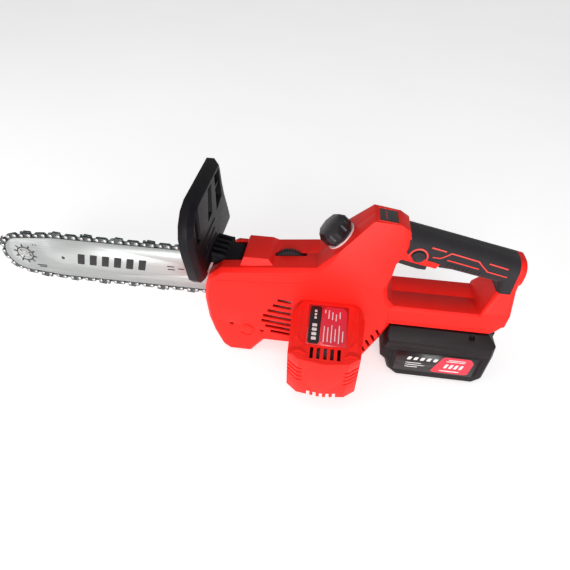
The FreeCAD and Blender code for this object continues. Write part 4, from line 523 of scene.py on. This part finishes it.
# ------------------------------------------------------------------ mesh helpers
def publish(mesh: bmesh.types.BMesh, name: str, slot: str, body: str,
            smooth_below: float = 35.0) -> bpy.types.Object:
    """Turns a bmesh into a piece that rides on a body.

    Args:
        mesh: the geometry, in metres in the row frame.
        name: the piece's name.
        slot: the finish.
        body: the CAD body it rides on.
        smooth_below: faces meeting under this angle in degrees shade smoothly.

    Returns:
        The new object.
    """
    bmesh.ops.recalc_face_normals(mesh, faces=mesh.faces)
    data = bpy.data.meshes.new(name)
    mesh.to_mesh(data)
    mesh.free()
    piece = bpy.data.objects.new(name, data)
    bpy.context.scene.collection.objects.link(piece)
    piece.data.materials.append(SHELF.take(slot))
    smooth(data, smooth_below)
    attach(piece, body)
    LOG.info("piece %s on %s", name, body)
    return piece


def smooth(data: bpy.types.Mesh, angle: float) -> None:
    """Shades a mesh smoothly except across sharp corners.

    Args:
        data: the mesh.
        angle: corners over this many degrees stay sharp.
    """
    data.shade_smooth()
    data.set_sharp_from_angle(angle=math.radians(angle))


class SurfaceProbe:
    """Finds the surface of CAD nodes from one side."""

    def __init__(self, *nodes: str, out: Vector = Vector((0.0, -1.0, 0.0))) -> None:
        """Gathers the nodes' meshes.

        Args:
            nodes: CAD node names.
            out: the direction that the probed surface faces.
        """
        points: list[Vector] = []
        faces: list[list[int]] = []
        for node in nodes:
            data = frame["nodes"][node].data
            base = len(points)
            points += [v.co.copy() for v in data.vertices]
            faces += [[base + i for i in p.vertices] for p in data.polygons]
        self.tree = BVHTree.FromPolygons(points, faces)
        self.out = out.normalized()

    def at(self, spot: Vector) -> tuple[Vector, Vector]:
        """Where a line through a spot along the probe's direction meets the surface.

        Args:
            spot: any point on the line.

        Returns:
            The surface point and its outward normal.

        Raises:
            ValueError: if nothing is hit.
        """
        hit, normal, _, _ = self.tree.ray_cast(spot + self.out * 0.5, -self.out)
        if hit is None:
            raise ValueError(f"no surface at {tuple(spot)}")
        if normal.dot(self.out) < 0:
            normal = -normal
        return hit, normal


def spread(path: Sequence[Vector], step: float) -> list[Vector]:
    """Divides a path into short even steps.

    Args:
        path: the corners.
        step: the longest step.

    Returns:
        The points along the path.
    """
    points = [path[0]]
    for start, end in zip(path, path[1:]):
        count = max(1, math.ceil((end - start).length / step))
        points += [start.lerp(end, i / count) for i in range(1, count + 1)]
    return points


def laid_strip(probe: SurfaceProbe, path: Sequence[Vector], width: float, rise: float,
               sink: float = 0.0006, closed: bool = False) -> bmesh.types.BMesh:
    """A strip laid on a surface along a path.

    Args:
        probe: the surface.
        path: the strip's centre line, anywhere along the probe's direction.
        width: the strip's width.
        rise: how far it stands proud.
        sink: how far it reaches in.
        closed: whether the path joins up with its start.

    Returns:
        The geometry.
    """
    points = spread(path, 0.0012)
    if closed:
        points = points[:-1]
    mesh = bmesh.new()
    rows = []
    count = len(points)
    for i, point in enumerate(points):
        before = points[(i - 1) % count] if closed or i else point
        after = points[(i + 1) % count] if closed or i < count - 1 else point
        along = (after - before).normalized()
        across = along.cross(probe.out).normalized() * (width / 2)
        row = []
        for share in (-1.0, -0.72, 0.72, 1.0):
            hit, normal = probe.at(point + across * share)
            lift = rise if abs(share) < 0.9 else rise * 0.35
            row.append(mesh.verts.new(hit + normal * lift))
        for share in (1.0, -1.0):
            hit, normal = probe.at(point + across * share)
            row.append(mesh.verts.new(hit - normal * sink))
        rows.append(row)
    pairs = list(zip(rows, rows[1:]))
    if closed:
        pairs.append((rows[-1], rows[0]))
    for near, far in pairs:
        for j in range(6):
            k = (j + 1) % 6
            mesh.faces.new((near[j], near[k], far[k], far[j]))
    if not closed:
        mesh.faces.new(rows[0])
        mesh.faces.new(list(reversed(rows[-1])))
    return mesh


def laid_patch(probe: SurfaceProbe, outline: Sequence[Vector], rise: float, crown: float = 0.0,
               sink: float = 0.0006, rings: int = 4) -> bmesh.types.BMesh:
    """A closed pad laid on a surface inside a star-shaped outline.

    Args:
        probe: the surface.
        outline: the pad's edge.
        rise: how far its rim stands proud.
        crown: how much more its middle stands proud.
        sink: how far it reaches in.
        rings: how many rings the top is divided into.

    Returns:
        The geometry.
    """
    middle = sum(outline, Vector()) / len(outline)
    mesh = bmesh.new()

    def vertex(point: Vector, lift: float) -> bmesh.types.BMVert:
        hit, normal = probe.at(point)
        return mesh.verts.new(hit + normal * lift)

    bottom = [vertex(p, -sink) for p in outline]
    side = [vertex(p, rise * 0.5) for p in outline]
    loops = [bottom, side]
    for ring in range(rings):
        share = 0.94 * (1.0 - ring / rings)
        lift = rise + crown * (1.0 - share ** 2)
        loops.append([vertex(middle + (p - middle) * share, lift) for p in outline])
    count = len(outline)
    for low, high in zip(loops, loops[1:]):
        for i in range(count):
            j = (i + 1) % count
            mesh.faces.new((low[i], low[j], high[j], high[i]))
    hub = vertex(middle, rise + crown)
    for i in range(count):
        mesh.faces.new((loops[-1][i], loops[-1][(i + 1) % count], hub))
    mesh.faces.new(list(reversed(bottom)))
    return mesh


def flat(points: Iterable[Point2], y: float = 0.0) -> list[Vector]:
    """Side-view (x, z) points in millimetres as vectors in metres."""
    return [Vector((x * MM, y * MM, z * MM)) for x, z in points]


def merge(meshes: Iterable[bmesh.types.BMesh]) -> bmesh.types.BMesh:
    """Joins several bmeshes into one, freeing them.

    Args:
        meshes: what to join.

    Returns:
        The joined mesh.
    """
    joined = bmesh.new()
    for mesh in meshes:
        data = bpy.data.meshes.new("part")
        mesh.to_mesh(data)
        joined.from_mesh(data)
        bpy.data.meshes.remove(data)
        mesh.free()
    return joined


# ------------------------------------------------------------------ carried-over nodes
@dataclass
class FrameDresser:
    """Gives every CAD node its finish, soft edges and smooth shading."""

    soft: dict[str, float] = field(default_factory=lambda: {
        "housing_left": 0.9, "housing_right": 0.9, "motor_housing": 0.8, "motor_end_cap": 0.7,
        "sprocket_cover": 0.8, "brake_cover": 0.8, "hand_guard": 0.8, "grip_left": 0.5,
        "grip_right": 0.5,
        "oil_cap": 0.6, "cover_knob": 0.7, "battery_case_lower": 0.8, "battery_case_upper": 0.7,
        "trigger": 0.5, "lockoff_button": 0.3, "battery_button": 0.5, "tension_wheel": 0.25,
        "oil_cap_seal": 0.4, "display_window": 0.25,
    })

    def dress(self) -> None:
        """Dresses all nodes."""
        slots = {entry["node"]: entry["material_slot"] for entry in frame["record"]["subparts"]}
        for node, piece in frame["nodes"].items():
            piece.data.materials.clear()
            piece.data.materials.append(SHELF.take(slots[node]))
            smooth(piece.data, 30.0)
            weld = piece.modifiers.new("weld", "WELD")
            weld.merge_threshold = 0.000002
            if node in self.soft:
                bevel = piece.modifiers.new("soft_edges", "BEVEL")
                bevel.width = self.soft[node] * MM
                bevel.segments = 3
                bevel.limit_method = "ANGLE"
                bevel.angle_limit = math.radians(28.0)
                bevel.harden_normals = False
            LOG.info("dressed %s", node)


# ------------------------------------------------------------------ surface detail
def arc(centre: Point2, radius: float, start: float, end: float, count: int = 28,
        y: float = 0.0) -> list[Vector]:
    """A circular path in the side view.

    Args:
        centre: (x, z) in millimetres.
        radius: in millimetres.
        start: first angle in degrees.
        end: last angle in degrees.
        count: number of steps.
        y: height across, in millimetres.

    Returns:
        The points in metres.
    """
    turns = [math.radians(start + (end - start) * i / count) for i in range(count + 1)]
    return flat([(centre[0] + radius * math.cos(a),
                  centre[1] + radius * math.sin(a)) for a in turns], y)


def oval(centre: Point2, half_long: float, half_wide: float, lean: float,
         count: int = 18) -> list[Vector]:
    """A leaning oval outline in the side view.

    Args:
        centre: (x, z) in millimetres.
        half_long: half of the long way, in millimetres.
        half_wide: half of the short way, in millimetres.
        lean: angle of the long way, in degrees.
        count: number of points.

    Returns:
        The points in metres.
    """
    turn = math.radians(lean)
    points = []
    for i in range(count):
        a = 2 * math.pi * i / count
        u, v = half_long * math.cos(a), half_wide * math.sin(a)
        points.append((centre[0] + u * math.cos(turn) - v * math.sin(turn),
                       centre[1] + u * math.sin(turn) + v * math.cos(turn)))
    return flat(points)


def quad(corners: Sequence[Point2], round_by: float = 0.12) -> list[Vector]:
    """A four-cornered side-view outline with clipped corners.

    Args:
        corners: (x, z) places in millimetres.
        round_by: share of each edge that a corner gives up.

    Returns:
        The points in metres.
    """
    points = []
    count = len(corners)
    for i, corner in enumerate(corners):
        before, after = corners[i - 1], corners[(i + 1) % count]
        for other in (before, after):
            points.append((corner[0] + (other[0] - corner[0]) * round_by,
                           corner[1] + (other[1] - corner[1]) * round_by))
    return flat(points)


@dataclass
class GripTrim:
    """Red inlay lines, the bow round the lock-off button and the finger ribs."""

    line_wide: float = 1.25
    line_rise: float = 0.25
    button: Point2 = (177.0, 157.0)
    bow_radius: float = 8.4
    rib_count: int = 9
    rib_first: Point2 = (206.5, 148.6)
    rib_step: Point2 = (3.9, -0.93)
    lines: tuple[tuple[Point2, ...], ...] = (
        ((187.5, 167.2), (201.5, 163.9)),
        ((190.0, 157.6), (197.5, 157.0), (206.5, 162.4), (233.0, 156.0), (243.5, 145.6),
         (263.0, 140.8)),
        ((204.0, 155.2), (235.0, 147.8)),
        ((243.0, 154.4), (261.5, 149.8)),
    )

    def build(self) -> None:
        """Adds the trim to the grip's near side."""
        probe = SurfaceProbe("grip_left", "housing_left")
        strips = [laid_strip(probe, flat(line), self.line_wide * MM,
                             self.line_rise * MM) for line in self.lines]
        publish(merge(strips), "grip_inlay_lines", "inlay_red", "body")
        bow = laid_strip(probe, arc(self.button, self.bow_radius, -30.0, 215.0), 1.7 * MM,
                         0.45 * MM)
        publish(bow, "button_bow", "inlay_red", "body")
        ribs = []
        for i in range(self.rib_count):
            spot = (self.rib_first[0] + self.rib_step[0] * i,
                    self.rib_first[1] + self.rib_step[1] * i)
            ribs.append(laid_patch(probe, oval(spot, 3.0, 1.15, 76.0), 0.35 * MM, 0.5 * MM))
        publish(merge(ribs), "finger_ribs", "grip_rubber", "body")


@dataclass
class SideTrim:
    """Raised marks of the moulding on the near shell."""

    boss: Point2 = (9.8, 38.2)
    boss_radius: float = 8.2

    def build(self) -> None:
        """Adds the boss ring and the shallow lines of the front wall."""
        probe = SurfaceProbe("housing_left")
        ring = laid_strip(probe, arc(self.boss, self.boss_radius, -150.0, 120.0), 2.0 * MM,
                          0.9 * MM)
        disc = laid_patch(probe, oval(self.boss, 6.4, 6.4, 0.0, 30), 0.5 * MM, 0.15 * MM)
        lines = [laid_strip(probe, flat(path), 1.1 * MM, 0.3 * MM) for path in (
            ((-22.0, 66.0), (-18.0, 80.0), (-10.0, 86.0)),
            ((-18.5, 64.0), (-14.5, 77.0), (-8.0, 82.0)),
            ((-19.0, 110.0), (70.0, 116.5), (78.0, 122.0)),
            ((162.0, 76.5), (236.0, 76.5), (262.0, 78.5)))]
        publish(merge([ring, disc] + lines), "side_marks", "red_shell", "body")


class LidPlane:
    """Local places on the motor box's sloping lid, found from the rating plate's blank."""

    def __init__(self) -> None:
        """Reads the plate's corners."""
        corners = [v.co.copy() for v in frame["nodes"]["motor_label"].data.vertices]
        rear = max(corners, key=lambda c: c.z)
        low = min(corners, key=lambda c: c.y)
        front = max((c for c in corners if c.y < low.y + 0.001), key=lambda c: c.z)
        self.slope = Vector((0.0, front.y - rear.y, front.z - rear.z)).normalized()
        self.middle = Vector(((min(c.x for c in corners) + max(c.x for c in corners)) / 2, rear.y,
                              rear.z))
        self.out = Vector((1.0, 0.0, 0.0)).cross(-self.slope).normalized()
        if self.out.z < 0:
            self.out = -self.out

    def spot(self, across: float, down: float) -> Vector:
        """A place by its offset from the plate's rear middle, in millimetres."""
        return self.middle + Vector((across * MM, 0.0, 0.0)) + self.slope * (down * MM)

    def panel(self, left: float, right: float, near: float, far: float) -> list[Vector]:
        """A rectangle with clipped corners.

        Args:
            left: lowest offset along the lid.
            right: highest offset along the lid.
            near: offset of the rear edge.
            far: offset of the front edge.

        Returns:
            The corners in metres.
        """
        clip = 0.16 * min(right - left, far - near)
        spots = ((left + clip, near), (right - clip, near), (right, near + clip),
                 (right, far - clip),
                 (right - clip, far), (left + clip, far), (left, far - clip), (left, near + clip))
        return [self.spot(*s) for s in spots]


@dataclass
class RatingPlate:
    """A generic rating plate: a dark band, a crimson field and rows of plain bars."""

    band: tuple[float, float] = (-18.6, -7.0)
    field_span: tuple[float, float] = (-6.2, 18.6)
    long: tuple[float, float] = (1.4, 44.6)

    def build(self) -> None:
        """Prints the plate and raises the lid's frame."""
        lid = LidPlane()
        probe = SurfaceProbe("motor_label", out=lid.out)
        rise = 0.10 * MM
        band = laid_patch(probe, lid.panel(*self.band, *self.long), rise, sink=0.0001)
        publish(band, "plate_band", "print_black", "body")
        area = laid_patch(probe, lid.panel(*self.field_span, *self.long), rise, sink=0.0001)
        publish(area, "plate_field", "print_crimson", "body")
        marks = [laid_patch(probe, lid.panel(-15.2, -10.4, 22.0 + 5.0 * i, 25.4 + 5.0 * i),
                            rise * 2, sink=0.0001)
                 for i in range(4)]
        marks += [laid_patch(probe, lid.panel(-14.0, -11.6, 6.0 + 4.0 * i, 8.6 + 4.0 * i), rise * 2,
                             sink=0.0001)
                  for i in range(3)]
        for column, spans in enumerate((((5, 9), (24, 42)), ((5, 15), (25, 41)),
                                        ((7, 16), (22, 42)),
                                        ((9, 17), (26, 40)), ((6, 14), (22, 42)), ((28, 40),))):
            across = -3.6 + 3.7 * column
            for near, far in spans:
                marks.append(laid_patch(probe, lid.panel(across, across + 1.0, near, far), rise * 2,
                                        sink=0.0001))
        publish(merge(marks), "plate_marks", "print_white", "body")
        shell = SurfaceProbe("motor_housing", out=lid.out)
        paths = [[lid.spot(side * 27.5, 0.5), lid.spot(side * 29.0, 6.0),
                  lid.spot(side * 29.0, 39.0),
                  lid.spot(side * 24.0, 45.5)] for side in (-1, 1)]
        strips = [laid_strip(shell, path, 2.4 * MM, 0.9 * MM) for path in paths]
        publish(merge(strips), "lid_frame", "red_box", "body")
        cap = SurfaceProbe("motor_end_cap", out=lid.out)
        brows = [laid_strip(cap,
                            [lid.spot(side * 30.0, 54.5), lid.spot(side * 24.0, 53.5),
                             lid.spot(side * 18.8, 56.5)],
                            2.2 * MM, 0.9 * MM) for side in (-1, 1)]
        publish(merge(brows), "cap_brows", "red_box", "body")


@dataclass
class BatteryTrim:
    """The battery's printed panel and the grip bars of its case."""

    left: float = 181.0
    right: float = 261.0
    low: float = 14.0
    high: float = 41.0

    def build(self) -> None:
        """Prints the panel and adds the case's bars."""
        probe = SurfaceProbe("battery_label")
        rise = 0.10 * MM
        field_shape = quad(((218.0, self.low), (259.0, self.low), (self.right, self.high - 6.0),
                            (256.0, self.high),
                            (228.0, self.high)), 0.08)
        publish(laid_patch(probe, field_shape, rise, sink=0.0001), "pack_field", "print_crimson",
                "battery")
        marks = []
        for i in range(5):
            x = 190.0 + 7.0 * i
            marks.append(quad(((x, 31.0), (x + 4.0, 31.0), (x + 5.6, 36.0), (x + 1.6, 36.0))))
        for i, long in enumerate((17.0, 21.0, 14.0)):
            marks.append(quad(((190.0, 25.5 - 3.4 * i), (190.0 + long, 25.5 - 3.4 * i),
                               (190.0 + long, 26.6 - 3.4 * i), (190.0, 26.6 - 3.4 * i))))
        for i, (x, long) in enumerate(((234.0, 18.0), (232.0, 20.0))):
            marks.append(quad(((x, 36.2 - 2.6 * i), (x + long, 36.2 - 2.6 * i),
                               (x + long, 37.3 - 2.6 * i),
                               (x, 37.3 - 2.6 * i))))
        for i in range(4):
            x = 231.0 + 5.4 * i
            marks.append(quad(((x, 22.5), (x + 3.2, 22.5), (x + 5.0, 29.5), (x + 1.8, 29.5))))
        marks.append(quad(((228.0, 17.0), (249.0, 17.0), (249.6, 18.6), (228.6, 18.6))))
        prints = [laid_patch(probe, outline, rise * 2, sink=0.0001, rings=2) for outline in marks]
        publish(merge(prints), "pack_marks", "print_white", "battery")
        case = SurfaceProbe("battery_case_lower")
        bars = [laid_strip(case, flat(((x, 14.0 + 5.0 * i), (x, 40.0))), 1.5 * MM, 0.6 * MM)
                for i, x in enumerate((174.5, 171.5))]
        bars.append(laid_strip(case, flat(((267.5, 13.0), (267.5, 40.0))), 1.5 * MM, 0.6 * MM))
        publish(merge(bars), "pack_bars", "pack_plastic", "battery")


@dataclass
class BarPrint:
    """The plain printing on the bar: a toothed ring, dots and slanted stripes."""

    ring: Point2 = (-277.5, 75.0)
    ring_radius: float = 9.6
    teeth: int = 10

    def build(self) -> None:
        """Prints the near face of the bar."""
        probe = SurfaceProbe("guide_bar", "nose_rivets")
        rise, sink = 0.06 * MM, 0.0002
        pieces = [laid_strip(probe, arc(self.ring, self.ring_radius, 0.0, 360.0, 60), 1.6 * MM,
                             rise, sink, True)]
        for i in range(self.teeth):
            turn = 2 * math.pi * (i + 0.5) / self.teeth
            spot = (self.ring[0] + 12.2 * math.cos(turn), self.ring[1] + 12.2 * math.sin(turn))
            pieces.append(laid_patch(probe, oval(spot, 2.4, 1.2, math.degrees(turn), 8), rise,
                                     sink=sink, rings=1))
            if i % 3 == 0:
                inner = (self.ring[0] + 6.3 * math.cos(turn), self.ring[1] + 6.3 * math.sin(turn))
                pieces.append(laid_patch(probe, oval(inner, 1.2, 1.2, 0.0, 14), rise, sink=sink,
                                         rings=1))
        for x, z, size in ((-228.5, 74.0, 2.2), (-262.0, 90.0, 0.9), (-258.5, 90.0, 0.9)):
            pieces.append(laid_patch(probe, oval((x, z), size, size, 0.0, 16), rise, sink=sink,
                                     rings=1))
        for i in range(6):
            x = -212.0 + 15.5 * i
            stripe = quad(((x, 66.5), (x + 9.0, 66.5), (x + 14.0, 82.5), (x + 5.0, 82.5)), 0.06)
            pieces.append(laid_patch(probe, stripe, rise, sink=sink, rings=1))
        for x, z, long in ((-96.0, 76.0, 9.0), (-96.0, 71.5, 9.0), (-83.0, 73.7, 8.0),
                           (-268.0, 58.0, 13.0),
                           (-266.0, 55.5, 10.0), (-71.0, 76.0, 14.0), (-71.0, 71.5, 11.0)):
            bar = quad(((x, z), (x + long, z), (x + long, z + 1.6), (x, z + 1.6)))
            pieces.append(laid_patch(probe, bar, rise, sink=sink, rings=1))
        publish(merge(pieces), "bar_print", "print_black", "bar")


@dataclass
class TopTrim:
    """The rim of the display window, its level marks and the guard's relief."""

    def build(self) -> None:
        """Adds the trim."""
        up = Vector((0.12, 0.0, 1.0))
        shell = SurfaceProbe("housing_left", "housing_right", out=up)
        window = [v.co.copy() for v in frame["nodes"]["display_window"].data.vertices]
        top = [c for c in window if c.z > max(v.z for v in window) - 0.0035]
        front, rear = min(c.x for c in top) - 1.4 * MM, max(c.x for c in top) + 1.2 * MM
        half = max(c.y for c in top) + 1.3 * MM
        level = max(c.z for c in top)
        loop = [Vector((front, -half, level)), Vector((rear, -half, level)),
                Vector((rear, half, level)),
                Vector((front, half, level)), Vector((front, -half, level))]
        rim = laid_strip(shell, loop, 1.4 * MM, 0.45 * MM, closed=True)
        publish(rim, "window_rim", "red_shell", "body")
        glass = SurfaceProbe("display_window", out=up)
        lamps = []
        for i in range(4):
            spot = Vector(((front + rear) / 2 - 2.0 * MM, (-5.4 + 3.6 * i) * MM, level))
            ring = [spot + Vector((0.9 * MM * math.cos(a), 0.9 * MM * math.sin(a), 0.0))
                    for a in (2 * math.pi * k / 14 for k in range(14))]
            lamps.append(laid_patch(glass, ring, 0.08 * MM, 0.05 * MM, sink=0.0002, rings=2))
        publish(merge(lamps), "level_marks", "print_crimson", "body")
        plate = SurfaceProbe("hand_guard", out=Vector((1.0, 0.0, 0.0)))
        bars = []
        for i, (near, far) in enumerate(((-26.0, 14.0), (-22.0, 10.0), (-26.0, 14.0))):
            z = 138.0 + 9.0 * i
            path = [Vector((0.0, near * MM, z * MM)), Vector((0.0, far * MM, (z + 1.5) * MM))]
            bars.append(laid_strip(plate, path, 4.0 * MM, 0.8 * MM))
        publish(merge(bars), "guard_relief", "guard_plastic", "guard")


# ------------------------------------------------------------------ studio
@dataclass
class Studio:
    """Floor, soft lights and the camera."""

    azimuth: float = 6.9
    elevation: float = 42.2
    roll: float = 1.1
    eye: tuple[float, float, float] = (0.091, -0.345, 0.403)
    focal: float = 26.8
    sensor: float = 36.0

    def floor(self) -> None:
        """A pale flat floor under the saw."""
        low = CAD_BOX[0].z
        mesh = bmesh.new()
        bmesh.ops.create_grid(mesh, x_segments=1, y_segments=1, size=6.0)
        bmesh.ops.translate(mesh, verts=mesh.verts, vec=Vector((0.0, 0.0, low - 0.0002)))
        data = bpy.data.meshes.new("floor")
        mesh.to_mesh(data)
        mesh.free()
        piece = bpy.data.objects.new("floor", data)
        bpy.context.scene.collection.objects.link(piece)
        material = bpy.data.materials.new("pale_floor")
        material.use_nodes = True
        g = Graph(material.node_tree)
        spot = g.add("TexCoord").outputs["Object"]
        noise = g.add("TexNoise", Vector=spot, Scale=3.0, Detail=2.0)
        tone = g.mix(noise.outputs["Fac"], (0.88, 0.88, 0.88), (0.92, 0.92, 0.92))
        shader = g.add("BsdfPrincipled", Base_Color=tone, Roughness=0.8)
        g.feed(shader, "Emission Color", tone)
        g.feed(shader, "Emission Strength", 0.55)
        g.feed(shader, "Specular IOR Level", 0.0)
        g.add("OutputMaterial", Surface=shader.outputs[0])
        data.materials.append(material)

    def lamp(self, name: str, spot: tuple[float, float, float], size: float, power: float,
             target: Vector) -> None:
        """A square soft light aimed at a target.

        Args:
            name: the light's name.
            spot: where it stands.
            size: its side.
            power: its power in watts.
            target: what it looks at.
        """
        light = bpy.data.lights.new(name, "AREA")
        light.size = size
        light.energy = power
        lamp = bpy.data.objects.new(name, light)
        lamp.location = spot
        lamp.rotation_euler = (target - Vector(spot)).to_track_quat("-Z", "Y").to_euler()
        bpy.context.scene.collection.objects.link(lamp)

    def lights(self) -> None:
        """A large key from the operator's left, a weak top and back light, and a pale room."""
        target = Vector((0.05, 0.0, 0.08))
        self.lamp("key", (0.25, -1.6, 0.50), 1.2, 27.0, target)
        self.lamp("top", (-0.2, -0.3, 1.7), 1.4, 3.0, target)
        self.lamp("side", (-1.5, -0.6, 0.6), 1.0, 5.0, target)
        world = bpy.data.worlds.new("room")
        world.use_nodes = True
        g = Graph(world.node_tree)
        back = g.add("Background", Color=(1.0, 1.0, 1.0), Strength=0.30)
        g.add("OutputWorld", Surface=back.outputs[0])
        bpy.context.scene.world = world

    def camera(self) -> None:
        """The camera that the main view is rendered through."""
        data = bpy.data.cameras.new("camera")
        data.lens = self.focal
        data.sensor_width = self.sensor
        data.clip_start = 0.01
        camera = bpy.data.objects.new("camera", data)
        turn = (Matrix.Rotation(math.radians(self.azimuth), 4, "Z")
                @ Matrix.Rotation(math.radians(90.0 - self.elevation), 4, "X")
                @ Matrix.Rotation(math.radians(self.roll), 4, "Z"))
        camera.matrix_world = Matrix.Translation(self.eye) @ turn
        bpy.context.scene.collection.objects.link(camera)
        bpy.context.scene.camera = camera

    def build(self) -> None:
        """Sets up the whole studio."""
        self.floor()
        self.lights()
        self.camera()
        bpy.context.scene.view_settings.view_transform = "Standard"


def main() -> None:
    """Builds the studio, dresses the frame and adds the surface detail."""
    logging.basicConfig(level=logging.INFO)
    Studio().build()
    FrameDresser().dress()
    for trim in (GripTrim(), SideTrim(), RatingPlate(), BatteryTrim(), BarPrint(), TopTrim()):
        trim.build()


if __name__ == "__main__":
    main()
